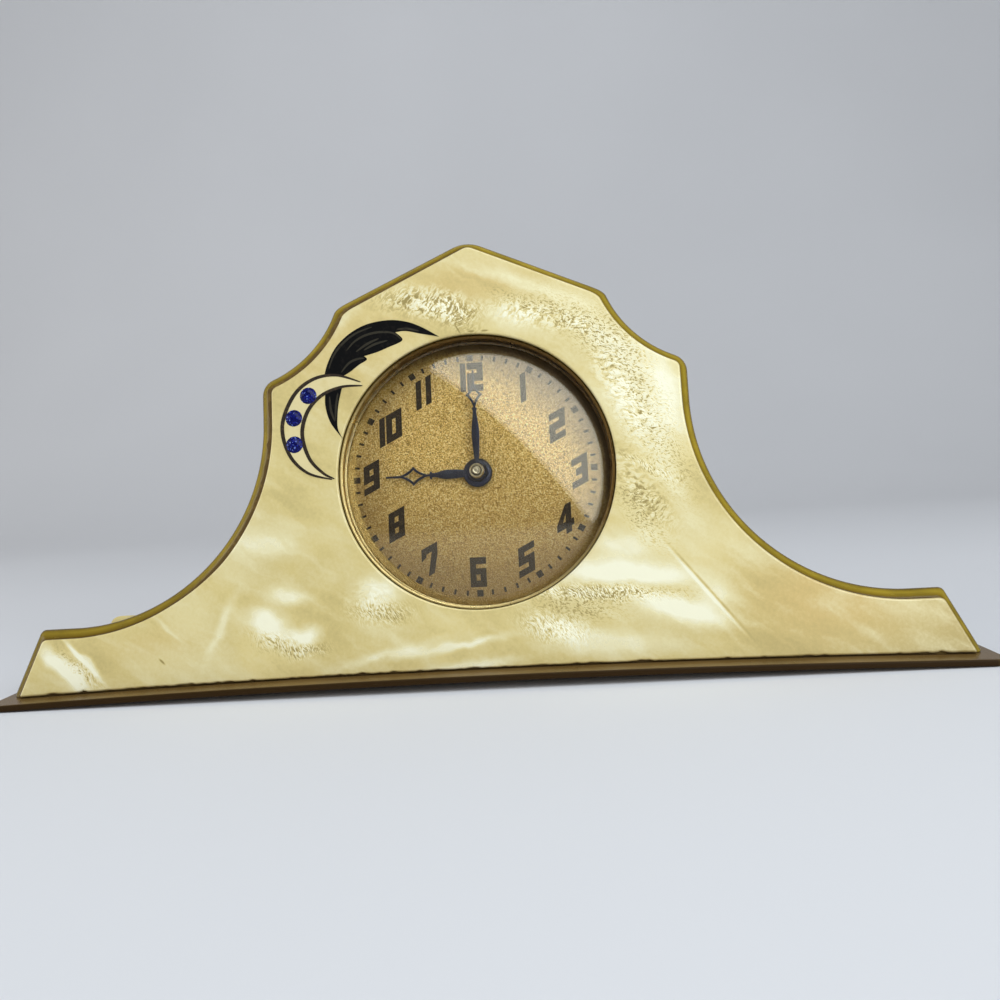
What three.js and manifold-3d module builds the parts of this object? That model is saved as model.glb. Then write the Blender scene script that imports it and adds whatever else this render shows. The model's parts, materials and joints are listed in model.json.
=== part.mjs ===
// A celluloid desk clock: a bevelled amber panel with a pearl facing stands on a thin base plate,
// and a round wind-up movement in a metal can is screwed to its back.
// Millimetres, +Z up. The front faces -Y, and the origin is the middle of the base plate's underside.
import * as THREE from "three";
import { mergeVertices } from "three/addons/utils/BufferGeometryUtils.js";
import Module from "manifold-3d";

const wasm = await Module();
wasm.setup();

// Fits
const seam = 0.3; // gap left where two pieces are cemented, clamped or seated
const runClear = 0.15; // radial clearance of a shaft in its hole

// Base plate
const baseWidth = 179;
const baseDepth = 50;
const baseThick = 1.8;
const baseCorner = 3;
const baseChamfer = 0.6;
const frontMargin = 4.5; // from the plate's front edge to the pearl face at the foot

// Panel outline: heights run up the leaning face from its foot, half widths from its middle
const leanDegrees = 10;
const footHalf = 85;
const pearlFoot = 0.6;
const shoulderHalf = 80.4;
const shoulderHeight = 9.7;
const sweepRadius = 38.5;
const earHalf = 37.6;
const earHeight = 54.4;
const coveRadius = 20.6;
const eaveHalf = 23.7;
const eaveHeight = 68.2;
const eaveRound = 2;
const peakHeight = 79.1;
const dialHeight = 37;

// Panel sheets
const pearlThick = 0.8;
const pearlBevel = 0.35;
const panelThick = 3;
const panelBevel = 2;
const panelReveal = 0.2; // amber left flat round the pearl

// Braces in the angle behind the panel's foot
const braceHeight = 12.6;
const braceThick = 4;
const braceInset = 52; // from the panel's foot corner to a brace's inner end
const braceLeftInset = 15.5; // from the panel's foot corner to a brace's outer end
const braceRightInset = 23;
const braceRound = 5;

// Stones set in the pearl facing, from the middle of the dial
const stoneRadius = 1.5;
const stoneDome = 0.55;
const stoneSink = 0.45;
const stonePlaces = [
  [-30.6, 15.6],
  [-33.4, 11.5],
  [-33.4, 6.5],
];

// Dial opening, bezel and crystal
const openingRadius = 25.5;
const openingEase = 0.3; // eased front edge of the opening
const bezelSet = 0.9; // how far the bezel's front edge lies behind the pearl face
const bezelEdge = 0.6; // width of the bezel's front edge
const bezelLip = 1.4; // reach of the bezel's lip in from its outside
const bezelLipThick = 0.5;
const bezelWall = 0.5;
const bezelFlangeReach = 2.5;
const bezelFlangeThick = 0.6;
const crystalRimThick = 0.8;
const crystalRise = 4.3;
const crystalThick = 1;
const sightRingThick = 0.6;
const sightRingWidth = 1.2;

// Dial and hands
const dialThick = 0.4;
const handThick = 0.3;
const hourBossRadius = 2.7;
const minuteBossRadius = 1.75;
const bossThick = 0.8;
const nutRadius = 1.35;
const nutThick = 1.1;
const hourHand = { tip: 16.7, diamond: 11.9, diamondLong: 5, diamondWide: 3.5, blade: 5.2, bladeWide: 2.2 };
const minuteHand = { tip: 19, diamond: 15.1, diamondLong: 4.6, diamondWide: 3.2, blade: 7.4, bladeWide: 1.6 };
const handLine = 0.45; // width of a hand's thin parts
const handEyeWall = 1.6; // wall beside a hand's eye, in widths of its thin parts
const crownShare = 0.7; // flat share of a domed boss or screw head

// Pipes and arbors on the dial's axis
const centreArborRadius = 0.8;
const cannonPipeRadius = 1.3;
const hourPipeRadius = 1.9;
const arborTip = 0.5; // how far the arbor and the nut's thread reach past the nut

// Motion work behind the dial
const motionModule = 0.45;
const cannonTeeth = 8;
const minuteTeeth = 24;
const minutePinionTeeth = 8;
const hourTeeth = 32;
const motionBearing = -90; // direction from the dial's axis to the minute wheel, degrees
const motionThick = 0.7;
const motionGap = 0.5;
const studRadius = 0.5;

// Movement frame
const plateThick = 1.2;
const pillarRadius = 1.6;
const pillarTenon = 0.9;
const pillarRearTenon = 1.3;
const pillarBearings = [295, 68, 178];
const pillarInset = 2.6; // from the can's wall to a pillar's axis
const nutCorner = 2; // from a hexagonal nut's axis to its corners
const nutHeight = 1;
const plateInset = 1.1; // from the can's wall to the back plate's edge

// Movement can
const canWall = 0.8;
const canSide = 0.7;
const canLedge = 1.4; // width of the ledge that the front plate sits on
const canRoom = 0.8; // clear room round the train
const canBackRoom = 3.4; // between the back plate and the can's back
const canFlangeEdge = 1.8; // from the can screws to the flange's edge
const canFlangeThick = 0.8;
const canScrewBearings = [30, 150, 270];
const screwHead = 1.7;
const screwHeadThick = 0.9;
const screwShank = 0.6;
const screwSlot = 0.3;
const screwBite = 1.8; // length of a can screw in the panel

// Going train: each wheel drives the next pinion
const greatTeeth = 48;
const centreLeaves = 8;
const greatModule = 0.43;
const greatBearing = 220;
const greatThick = 0.9;
const centreTeeth = 48;
const thirdLeaves = 6;
const centreModule = 0.4;
const thirdBearing = -20;
const wheelThick = 0.6;
const thirdTeeth = 45;
const fourthLeaves = 6;
const thirdModule = 0.36;
const fourthBearing = 75;
const fourthTeeth = 48;
const escapeLeaves = 6;
const fourthModule = 0.293;
const escapeBearing = 140;
const pinionLong = 1.4;
const trainArborRadius = 0.5;
const centreTubeRadius = 1.5;
const addendum = 0.9; // of a tooth, in modules
const dedendum = 1.25;
const wheelToothShare = 0.38; // share of the pitch that a tooth fills on the pitch circle
const leafShare = 0.32;
const wheelArms = 4;
const wheelArmWide = 1.1;
const wheelRimWide = 1.1; // from the roots of the teeth to the windows
const wheelHubWide = 1.3; // from the arbor to the windows

// Winding
const windArborRadius = 1.3;
const ratchetTeeth = 20;
const ratchetRadius = 4;
const ratchetDepth = 0.6;
const ratchetThick = 0.8;
const ratchetRake = 0.1; // share of the pitch that a ratchet tooth's steep side takes
const clickPivot = 7.2; // from the winding arbor
const clickBearing = 30;
const clickLead = 35; // angle from the click's pivot back to its tip
const clickSpringFrom = 70; // angle from the click's pivot on to its spring's stud
const clickSpringTo = 16; // angle from the click's pivot on to its spring's free end
const springWidth = 6;
const springThick = 0.35;
const springRadius = 9.2;
const springTurns = 5;
const layerGap = 0.4; // least gap between parts that turn past each other

// Escapement and balance
const escapeTeeth = 15;
const escapeRadius = 5.5;
const escapeToothDepth = 1.5;
const escapeToothShares = { back: 0.25, land: 0.08, front: 0.12 }; // of the pitch, from the tooth's tip
const palletDistance = 7.5;
const palletBearing = 160;
const palletSpan = 38; // half the angle between the pallet pins, seen from the escape wheel
const palletPinRadius = 0.28;
const leverThick = 0.6;
const leverWide = 1;
const balanceDistance = 9.05;
const balanceBearing = 190;
const balanceRadius = 7.2;
const balanceRim = 1;
const balanceThick = 1.1;
const rollerRadius = 2;
const rollerPinAt = 1.5;
const hairspringRadius = 4.6;
const hairspringThick = 0.2;
const hairspringWide = 0.6;
const hairspringTurns = 4;
const collarRadius = 1.2;
const hairspringStudRadius = 0.5;

// Regulator, set knob and winding key
const regulatorReach = 5.5;
const regulatorSwing = 25;
const regulatorBearing = 130;
const regulatorThick = 0.7;
const regulatorPin = 0.5;
const regulatorProud = 1.2;
const regulatorHubWall = 1.2;
const regulatorSlotMargin = 8; // degrees of slot past the regulator's swing, at each end
const bearingBoss = 1;
const knobRadius = 4.2;
const knobLong = 5;
const knobNeck = 1.3;
const knobRidges = 24;
const knobRidgeDepth = 0.3;
const keyHubRadius = 2.2;
const keyHubLong = 4;
const keyWing = 3.3;
const keyWingAt = 3.6;
const keyThick = 1.3;

// Faceting
const bigRound = 40;
const canRound = 28;
const plateRound = 24;
const midRound = 16;
const smallRound = 8;
const sweepSteps = 12;
const coveSteps = 6;
const domeSteps = 4;
const curveSteps = 4; // along each curve of a flat shape
const eaveSteps = 3;
const springSteps = 12; // to a turn

// Finishes
const finish = (color, roughness, metalness) =>
  new THREE.MeshStandardMaterial({ color, roughness, metalness });
const amber = finish(0x8a6a1c, 0.25, 0);
const pearl = finish(0xe0d59a, 0.3, 0);
const sapphire = finish(0x10107a, 0.1, 0);
const glass = finish(0xf2f4f2, 0.05, 0);
const brass = finish(0xb08a3c, 0.35, 0.9);
const gilt = finish(0xc2a060, 0.5, 0.6);
const bluedSteel = finish(0x1c2238, 0.35, 0.8);
const steel = finish(0x8b8d90, 0.35, 0.9);
const nickel = finish(0xb9b7b0, 0.3, 0.9);

// Depths behind the pearl face, front to back
const panelFront = pearlThick + seam;
const panelBack = panelFront + panelThick;
const bezelFlangeFront = panelBack - bezelFlangeThick;
const crystalRimFront = panelBack - crystalRimThick;
const lipBack = crystalRimFront - seam;
const lipFront = lipBack - bezelLipThick;
const flangeFront = panelBack + seam;
const sightRingBack = flangeFront + sightRingThick;
const dialFront = sightRingBack + seam;
const dialBack = dialFront + dialThick;
const hourWheelFront = dialBack + motionGap;
const hourWheelBack = hourWheelFront + motionThick;
const minuteWheelFront = hourWheelBack + motionGap;
const minuteWheelBack = minuteWheelFront + motionThick;
const frontPlateFront = minuteWheelBack + motionGap;
const frontPlateBack = frontPlateFront + plateThick;
const ledgeFront = frontPlateBack + seam;
const greatFront = frontPlateBack + layerGap;
const greatBack = greatFront + greatThick;
const ratchetFront = greatBack + layerGap;
const ratchetBack = ratchetFront + ratchetThick;
const springFront = ratchetBack + layerGap;
const springBack = springFront + springWidth;
const centreFront = springBack + layerGap;
const centreBack = centreFront + wheelThick;
const backPlateFront = centreBack + layerGap + pinionLong / 2;
const backPlateBack = backPlateFront + plateThick;
const canBackInside = backPlateBack + canBackRoom;
const canBack = canBackInside + canWall;
const escapeFront = ratchetFront;
const escapeBack = escapeFront + wheelThick;
const leverFront = escapeBack + 2 * layerGap;
const leverBack = leverFront + leverThick;
const thirdFront = leverFront;
const rollerFront = leverBack + 2 * layerGap;
const rollerBack = rollerFront + leverThick;
const balanceFront = rollerBack + layerGap;
const balanceBack = balanceFront + balanceThick;
const fourthFront = balanceFront;
const hairspringFront = balanceBack + 2 * layerGap;
const hairspringBack = hairspringFront + hairspringWide;

// Hands stand on their pipes in front of the dial
const hourBossBack = dialFront - layerGap;
const hourBossFront = hourBossBack - bossThick;
const minuteBossBack = hourBossFront - seam;
const minuteBossFront = minuteBossBack - bossThick;
const nutBack = minuteBossFront - seam;
const nutFront = nutBack - nutThick;

// Wheel centres in the plane of the dial, from its axis
const radians = THREE.MathUtils.degToRad;
const polar = (distance, degrees) => {
  const angle = radians(degrees);
  return new THREE.Vector2(distance * Math.cos(angle), distance * Math.sin(angle));
};
const gearDistance = (module, teeth, leaves) => (module * (teeth + leaves)) / 2;
const greatDistance = gearDistance(greatModule, greatTeeth, centreLeaves);
const centreAt = new THREE.Vector2(0, 0);
const greatAt = polar(greatDistance, greatBearing);
const thirdAt = polar(gearDistance(centreModule, centreTeeth, thirdLeaves), thirdBearing);
const fourthAt = polar(gearDistance(thirdModule, thirdTeeth, fourthLeaves), fourthBearing).add(thirdAt);
const escapeAt = polar(gearDistance(fourthModule, fourthTeeth, escapeLeaves), escapeBearing).add(fourthAt);
const palletAt = polar(palletDistance, palletBearing).add(escapeAt);
const balanceAt = polar(balanceDistance, balanceBearing).add(palletAt);
const motionDistance = gearDistance(motionModule, cannonTeeth, minuteTeeth);
const hourModule = (2 * motionDistance) / (minutePinionTeeth + hourTeeth);
const minuteAt = polar(motionDistance, motionBearing);

// The can and the plates take their radii from the train's reach and from the dial opening
const tipRadius = (module, teeth) => module * (teeth / 2 + addendum);
const greatReach = greatDistance + tipRadius(greatModule, greatTeeth);
const balanceReach = balanceAt.length() + balanceRadius;
const canInside = Math.max(greatReach, balanceReach) + canRoom;
const frontPlateRadius = Math.max(canInside + canLedge, openingRadius - 2 * seam);
const dialRadius = frontPlateRadius; // dial and front plate share the can's mouth
const canMouth = frontPlateRadius + seam;
const bezelFlangeRadius = openingRadius + bezelFlangeReach;
const canScrewRing = Math.max(bezelFlangeRadius + 2 * screwShank, canMouth + canSide + screwHead) + seam;
const canFlangeRadius = canScrewRing + canFlangeEdge;
const backPlateRadius = canInside - plateInset;
const pillarRing = canInside - pillarInset;
const pillarPlaces = pillarBearings.map((bearing) => polar(pillarRing, bearing));
const canScrewPlaces = canScrewBearings.map((bearing) => polar(canScrewRing, bearing));

// Solids from geometry and back, for cuts and joins
function solidOf(geometry) {
  const bare = geometry.index ? geometry.toNonIndexed() : geometry.clone();
  bare.deleteAttribute("normal");
  bare.deleteAttribute("uv");
  const merged = mergeVertices(bare, 1e-4);
  const kept = [];
  const index = merged.index.array;
  for (let i = 0; i < index.length; i += 3) {
    const [a, b, c] = [index[i], index[i + 1], index[i + 2]];
    if (a !== b && b !== c && c !== a) kept.push(a, b, c);
  }
  const vertProperties = merged.attributes.position.array;
  return new wasm.Manifold(new wasm.Mesh({ numProp: 3, vertProperties, triVerts: new Uint32Array(kept) }));
}

function geometryOf(solid) {
  const mesh = solid.getMesh();
  const geometry = new THREE.BufferGeometry();
  geometry.setAttribute("position", new THREE.BufferAttribute(new Float32Array(mesh.vertProperties), 3));
  geometry.setIndex(new THREE.BufferAttribute(new Uint32Array(mesh.triVerts), 1));
  geometry.computeVertexNormals();
  return geometry;
}

const join = (...parts) => geometryOf(parts.map(solidOf).reduce((whole, part) => whole.add(part)));
const cut = (body, ...tools) =>
  geometryOf(tools.map(solidOf).reduce((left, tool) => left.subtract(tool), solidOf(body)));

// A body turned about the depth axis from [radius, depth] points
function turned(profile, steps) {
  const points = profile.map(([radius, depth]) => new THREE.Vector2(radius, depth));
  if (THREE.ShapeUtils.area(points) < 0) points.reverse();
  if (points[0].x > 0 || points.at(-1).x > 0) points.push(points[0].clone());
  return new THREE.LatheGeometry(points, steps);
}

// A rod or a tube between two depths
const rod = (radius, front, back, steps) =>
  turned([[0, front], [radius, front], [radius, back], [0, back]], steps);
const tube = (inner, outer, front, back, steps) =>
  turned([[inner, front], [outer, front], [outer, back], [inner, back]], steps);

// A flat shape, drawn as seen from the front, with thickness between two depths
function slab(shape, front, back) {
  const settings = { depth: back - front, bevelEnabled: false, curveSegments: curveSteps };
  return new THREE.ExtrudeGeometry(shape, settings).rotateX(Math.PI / 2).translate(0, back, 0);
}

const moved = (geometry, place) => geometry.translate(place.x, 0, place.y);

// A straight bar with round ends between two places
function barShape(from, to, width) {
  const along = Math.atan2(to.y - from.y, to.x - from.x);
  const half = width / 2;
  const shape = new THREE.Shape();
  shape.absarc(to.x, to.y, half, along - Math.PI / 2, along + Math.PI / 2, false);
  shape.absarc(from.x, from.y, half, along + Math.PI / 2, along + (3 * Math.PI) / 2, false);
  return shape;
}

// Stacked outlines, each [points, depth], skinned from front to back
function skinned(sections) {
  const count = sections[0][0].length;
  const positions = sections.flatMap(([points, depth]) => points.flatMap((p) => [p.x, depth, p.y]));
  const cap = (points) => THREE.ShapeUtils.triangulateShape(points, []);
  const index = cap(sections[0][0]).flat();
  for (let s = 0; s + 1 < sections.length; s += 1) {
    for (let i = 0; i < count; i += 1) {
      const a = s * count + i;
      const b = s * count + ((i + 1) % count);
      index.push(a, b + count, b, a, a + count, b + count);
    }
  }
  const last = (sections.length - 1) * count;
  for (const [a, b, c] of cap(sections.at(-1)[0])) index.push(last + a, last + c, last + b);
  const geometry = new THREE.BufferGeometry();
  geometry.setAttribute("position", new THREE.Float32BufferAttribute(positions, 3));
  geometry.setIndex(index);
  return geometry;
}

// Points along an arc, both ends included
function arcPoints(centre, radius, start, end, steps) {
  const angles = Array.from({ length: steps + 1 }, (_, i) => start + ((end - start) * i) / steps);
  return angles.map((a) => new THREE.Vector2(Math.cos(a), Math.sin(a)).multiplyScalar(radius).add(centre));
}

// Centre of the cove between ear and eave, which bends into the panel
function coveCentre() {
  const ear = new THREE.Vector2(earHalf, earHeight);
  const eave = new THREE.Vector2(eaveHalf, eaveHeight);
  const chord = eave.clone().sub(ear);
  const rise = Math.sqrt(coveRadius ** 2 - chord.lengthSq() / 4);
  const outward = new THREE.Vector2(chord.y, -chord.x).normalize();
  return ear.add(eave).multiplyScalar(0.5).addScaledVector(outward, rise);
}

// The panel's outline grown outward by a margin, anticlockwise from the right foot
function panelOutline(grow, foot) {
  const endRun = new THREE.Vector2(shoulderHalf - footHalf, shoulderHeight - pearlFoot).normalize();
  const endX = (height) => footHalf + (grow + (height - pearlFoot) * endRun.x) / endRun.y;
  const shoulder = shoulderHeight + grow;
  const sweepCentre = new THREE.Vector2(earHalf + sweepRadius, shoulderHeight + sweepRadius);
  const sweep = arcPoints(sweepCentre, sweepRadius - grow, -Math.PI / 2, -Math.PI, sweepSteps);
  const cove = coveCentre();
  const coveGrown = coveRadius - grow;
  const earX = earHalf + grow;
  const ear = new THREE.Vector2(earX, cove.y - Math.sqrt(coveGrown ** 2 - (cove.x - earX) ** 2));
  const roofRun = new THREE.Vector2(eaveHalf, eaveHeight - peakHeight).normalize();
  const peak = new THREE.Vector2(0, peakHeight + grow / roofRun.x);
  const toPeak = peak.clone().sub(cove);
  const middle = toPeak.dot(roofRun);
  const reach = -middle - Math.sqrt(middle ** 2 - toPeak.lengthSq() + coveGrown ** 2);
  const eave = peak.clone().addScaledVector(roofRun, reach);
  const round = eaveRound / coveGrown;
  const start = Math.atan2(ear.y - cove.y, ear.x - cove.x);
  const end = -Math.PI - Math.atan2(eave.y - cove.y, cove.x - eave.x);
  const coveArc = arcPoints(cove, coveGrown, start, end + round, coveSteps);
  const onRoof = eave.clone().addScaledVector(roofRun, -eaveRound);
  const eaveCurve = new THREE.QuadraticBezierCurve(coveArc.at(-1), eave, onRoof);
  const corner = [new THREE.Vector2(endX(foot), foot), new THREE.Vector2(endX(shoulder), shoulder)];
  const right = [...corner, ...sweep, ear, ...coveArc.slice(1), ...eaveCurve.getPoints(eaveSteps).slice(1)];
  const left = right.map((p) => new THREE.Vector2(-p.x, p.y)).reverse();
  return [...right, peak, ...left];
}

// Everything below the cement line on the base plate, as the leaning pieces see it
function belowFoot() {
  const deep = 4 * panelBevel + braceThick + panelThick;
  const block = new THREE.BoxGeometry(2 * baseWidth, 2 * baseDepth, 2 * deep);
  return block.translate(0, 0, seam - deep).rotateX(radians(leanDegrees));
}

// The base plate: rounded corners and a chamfer round its top edge
function basePlate() {
  const outline = (inset) => {
    const halfX = baseWidth / 2 - baseCorner;
    const halfY = baseDepth / 2 - baseCorner;
    const quarter = Math.PI / 2;
    const corners = [[halfX, -halfY, 3], [halfX, halfY, 0], [-halfX, halfY, 1], [-halfX, -halfY, 2]];
    return corners.flatMap(([x, y, turn]) => {
      const centre = new THREE.Vector2(x, y);
      return arcPoints(centre, baseCorner - inset, turn * quarter, (turn + 1) * quarter, coveSteps);
    });
  };
  const sections = [[outline(baseChamfer), 0], [outline(0), baseChamfer], [outline(0), baseThick]];
  return skinned(sections).rotateX(-Math.PI / 2).translate(0, 0, baseThick);
}

// The opening through the panel, with the rebate that takes the bezel's flange
function panelOpening() {
  const flangeRoom = bezelFlangeRadius + seam;
  const rebateFront = bezelFlangeFront - seam;
  const past = panelBack + panelThick;
  const profile = [
    [0, 0],
    [openingRadius, 0],
    [openingRadius, rebateFront],
    [flangeRoom, rebateFront],
    [flangeRoom, past],
    [0, past],
  ];
  return turned(profile, bigRound).translate(0, 0, dialHeight);
}

function frontPanel() {
  const bevelBack = panelFront + panelBevel;
  const outer = panelOutline(panelBevel, 0);
  const sections = [[panelOutline(panelReveal, 0), panelFront], [outer, bevelBack], [outer, panelBack]];
  const pilots = canScrewPlaces.map((place) => {
    const hole = rod(screwShank + runClear, panelBack - screwBite - seam, panelBack + seam, smallRound);
    return moved(hole, place).translate(0, 0, dialHeight);
  });
  return cut(skinned(sections), panelOpening(), belowFoot(), ...pilots);
}

function pearlFacing() {
  const outer = panelOutline(0, pearlFoot);
  const inner = panelOutline(-pearlBevel, pearlFoot + pearlBevel);
  const sheet = skinned([[inner, 0], [outer, pearlBevel], [outer, pearlThick]]);
  const eased = openingRadius + openingEase;
  const opening = turned([
    [0, -seam],
    [eased + seam, -seam],
    [openingRadius, openingEase],
    [openingRadius, panelBack],
    [0, panelBack],
  ], bigRound);
  const seats = stonePlaces.map(([x, z]) =>
    rod(stoneRadius + runClear, -seam, panelBack, midRound).translate(x, 0, z + dialHeight));
  return cut(sheet, opening.translate(0, 0, dialHeight), ...seats);
}

// A domed stone whose skirt sits in the pearl
function stone() {
  const dome = arcPoints(new THREE.Vector2(0, 0), stoneRadius, 0, Math.PI / 2, domeSteps);
  const cap = dome.map((p) => [p.x, -(p.y * stoneDome) / stoneRadius]);
  cap[cap.length - 1][0] = 0;
  return turned([[0, stoneSink], [stoneRadius, stoneSink], ...cap], midRound);
}

// A brace on one side, 1 right or -1 left, with its upper outer corner rounded
function brace(side, inset) {
  const inner = side * (footHalf - braceInset);
  const end = side * (footHalf - inset);
  const shape = new THREE.Shape();
  shape.moveTo(inner, 0);
  shape.lineTo(end, 0);
  shape.lineTo(end, braceHeight - braceRound);
  shape.quadraticCurveTo(end, braceHeight, end - side * braceRound, braceHeight);
  shape.lineTo(inner, braceHeight);
  const front = panelBack + seam;
  return cut(slab(shape, front, front + braceThick), belowFoot());
}

// The bezel: a ring with a lip over the crystal's rim and a flange behind the panel
function bezelRing() {
  const outside = openingRadius - seam;
  const lip = outside - bezelLip;
  const seat = outside - bezelWall;
  return turned([
    [outside, bezelSet],
    [outside, bezelFlangeFront],
    [bezelFlangeRadius, bezelFlangeFront],
    [bezelFlangeRadius, panelBack],
    [seat, panelBack],
    [seat, lipBack],
    [lip, lipBack],
    [lip, lipFront],
    [outside - bezelEdge, bezelSet],
  ], bigRound);
}

// The crystal: a shallow glass dome with a flat rim behind the bezel's lip
function crystal() {
  const rim = openingRadius - seam - bezelWall - seam;
  const dome = openingRadius - seam - bezelLip - seam;
  const cap = (edgeDepth, rise) => {
    const radius = (dome ** 2 + rise ** 2) / (2 * rise);
    const half = Math.asin(dome / radius);
    const centre = edgeDepth - rise + radius;
    const angles = Array.from({ length: domeSteps + 1 }, (_, i) => (half * i) / domeSteps);
    return angles.map((a) => [radius * Math.sin(a), centre - radius * Math.cos(a)]);
  };
  const outer = cap(crystalRimFront, crystalRise);
  const innerRise = crystalRise - crystalThick + crystalRimThick;
  const inner = cap(panelBack, innerRise);
  return turned([...outer, [rim, crystalRimFront], [rim, panelBack], ...inner.reverse()], bigRound);
}

const sightRing = () => tube(dialRadius - sightRingWidth, dialRadius, flangeFront, sightRingBack, bigRound);
const dialPlate = () => tube(hourPipeRadius + 2 * runClear, dialRadius, dialFront, dialBack, bigRound);
const dialSpacer = () =>
  tube(dialRadius - sightRingWidth, dialRadius, dialBack + seam, frontPlateFront - seam, plateRound);

// A skeleton hand pointing up: a tapered blade, an open diamond with hollowed sides, and a fine tip
function hand(size, bossRadius, holeRadius, front) {
  const line = handLine / 2;
  const low = size.diamond - size.diamondLong / 2;
  const high = size.diamond + size.diamondLong / 2;
  const half = size.diamondWide / 2;
  const blade = size.bladeWide / 2;
  const shape = new THREE.Shape();
  shape.moveTo(-line, 0);
  shape.lineTo(line, 0);
  shape.lineTo(blade, size.blade);
  shape.quadraticCurveTo(line, low - handLine, line, low);
  shape.quadraticCurveTo(line, size.diamond, half, size.diamond);
  shape.quadraticCurveTo(line, size.diamond, line, high);
  shape.lineTo(0, size.tip);
  shape.lineTo(-line, high);
  shape.quadraticCurveTo(-line, size.diamond, -half, size.diamond);
  shape.quadraticCurveTo(-line, size.diamond, -line, low);
  shape.quadraticCurveTo(-line, low - handLine, -blade, size.blade);
  const eye = new THREE.Path();
  const inner = size.diamondWide / 2 - handEyeWall * handLine;
  eye.moveTo(0, size.diamond + inner);
  eye.quadraticCurveTo(0, size.diamond, inner, size.diamond);
  eye.quadraticCurveTo(0, size.diamond, 0, size.diamond - inner);
  eye.quadraticCurveTo(0, size.diamond, -inner, size.diamond);
  eye.quadraticCurveTo(0, size.diamond, 0, size.diamond + inner);
  shape.holes.push(eye);
  const middle = front + bossThick / 2;
  const back = front + bossThick;
  const boss = turned(
    [[0, front], [bossRadius * crownShare, front], [bossRadius, middle], [bossRadius, back], [0, back]],
    midRound,
  );
  const blank = join(slab(shape, middle - handThick / 2, middle + handThick / 2), boss);
  return cut(blank, rod(holeRadius, front - seam, back + seam, midRound));
}

// Gear outlines with pointed teeth; the phase is the direction of one tooth
function gearShape(module, teeth, phase, share) {
  const pitch = (module * teeth) / 2;
  const tip = pitch + addendum * module;
  const root = pitch - dedendum * module;
  const step = (2 * Math.PI) / teeth;
  const rootHalf = (share * step * (addendum + dedendum)) / (2 * addendum);
  const flank = [[root, -rootHalf], [tip, 0], [root, rootHalf]];
  const points = Array.from({ length: teeth }, (_, i) => phase + i * step).flatMap((middle) =>
    flank.map(([r, a]) => new THREE.Vector2(r * Math.cos(middle + a), r * Math.sin(middle + a))));
  return new THREE.Shape(points);
}

// Phase of a gear so that its gap faces a tooth of the gear that drives it
function meshPhase(from, fromTeeth, fromPhase, to, toTeeth) {
  const line = Math.atan2(to.y - from.y, to.x - from.x);
  return line + Math.PI + Math.PI / toTeeth - ((fromPhase - line) * fromTeeth) / toTeeth;
}

// Cuts the windows between a wheel's arms out of its shape
function crossOut(shape, hub, rim) {
  const step = (2 * Math.PI) / wheelArms;
  const halfArm = (radius) => Math.asin(wheelArmWide / (2 * radius));
  for (let i = 0; i < wheelArms; i += 1) {
    const [start, end] = [i * step, (i + 1) * step];
    const outer = arcPoints(centreAt, rim, start + halfArm(rim), end - halfArm(rim), curveSteps);
    const inner = arcPoints(centreAt, hub, end - halfArm(hub), start + halfArm(hub), curveSteps / 2);
    shape.holes.push(new THREE.Path([...outer, ...inner]));
  }
  return shape;
}

// A wheel with arms, level with its layer of the train
function armedWheel(module, teeth, arborRadius, front) {
  const rim = module * (teeth / 2 - dedendum) - wheelRimWide;
  const shape = gearShape(module, teeth, 0, wheelToothShare);
  return slab(crossOut(shape, arborRadius + wheelHubWide, rim), front, front + wheelThick);
}

const pinionGear = (module, leaves, phase, front, back) =>
  slab(gearShape(module, leaves, phase, leafShare), front, back);
const trainArbor = () => rod(trainArborRadius, frontPlateFront, backPlateBack, smallRound);

// A pinion level with the wheel that drives it
function drivenPinion(module, leaves, phase, driverFront) {
  const front = driverFront + (wheelThick - pinionLong) / 2;
  return pinionGear(module, leaves, phase, front, front + pinionLong);
}

function thirdWheel() {
  const phase = meshPhase(centreAt, centreTeeth, 0, thirdAt, thirdLeaves);
  const pinion = drivenPinion(centreModule, thirdLeaves, phase, centreFront);
  return join(armedWheel(thirdModule, thirdTeeth, trainArborRadius, thirdFront), pinion, trainArbor());
}

function fourthWheel() {
  const phase = meshPhase(thirdAt, thirdTeeth, 0, fourthAt, fourthLeaves);
  const pinion = drivenPinion(thirdModule, fourthLeaves, phase, thirdFront);
  return join(armedWheel(fourthModule, fourthTeeth, trainArborRadius, fourthFront), pinion, trainArbor());
}

// The centre wheel and its pinion share a tube that turns on the centre arbor
function centreWheel() {
  const phase = meshPhase(greatAt, greatTeeth, 0, centreAt, centreLeaves);
  const pinion = pinionGear(greatModule, centreLeaves, phase, greatFront, ratchetFront);
  const wheel = armedWheel(centreModule, centreTeeth, centreTubeRadius, centreFront);
  const sleeve = rod(centreTubeRadius, greatBack + seam, centreBack + seam, midRound);
  const bore = rod(centreArborRadius + runClear, frontPlateFront, backPlateBack, smallRound);
  return cut(join(pinion, wheel, sleeve), bore);
}

// The great wheel turns on the winding arbor and carries the studs of the click and its spring
const clickPivotAt = polar(clickPivot, clickBearing);
const clickTipAt = polar(ratchetRadius + seam + studRadius, clickBearing - clickLead);
const clickSpringFoot = polar(clickPivot, clickBearing + clickSpringFrom);

function greatWheel() {
  const wheel = slab(gearShape(greatModule, greatTeeth, 0, wheelToothShare), greatFront, greatBack);
  const studs = [clickPivotAt, clickSpringFoot].map((place) =>
    moved(rod(studRadius, greatFront, ratchetBack, smallRound), place));
  const bore = rod(windArborRadius + runClear, frontPlateFront, backPlateBack, smallRound);
  return cut(join(wheel, ...studs), bore);
}

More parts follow.
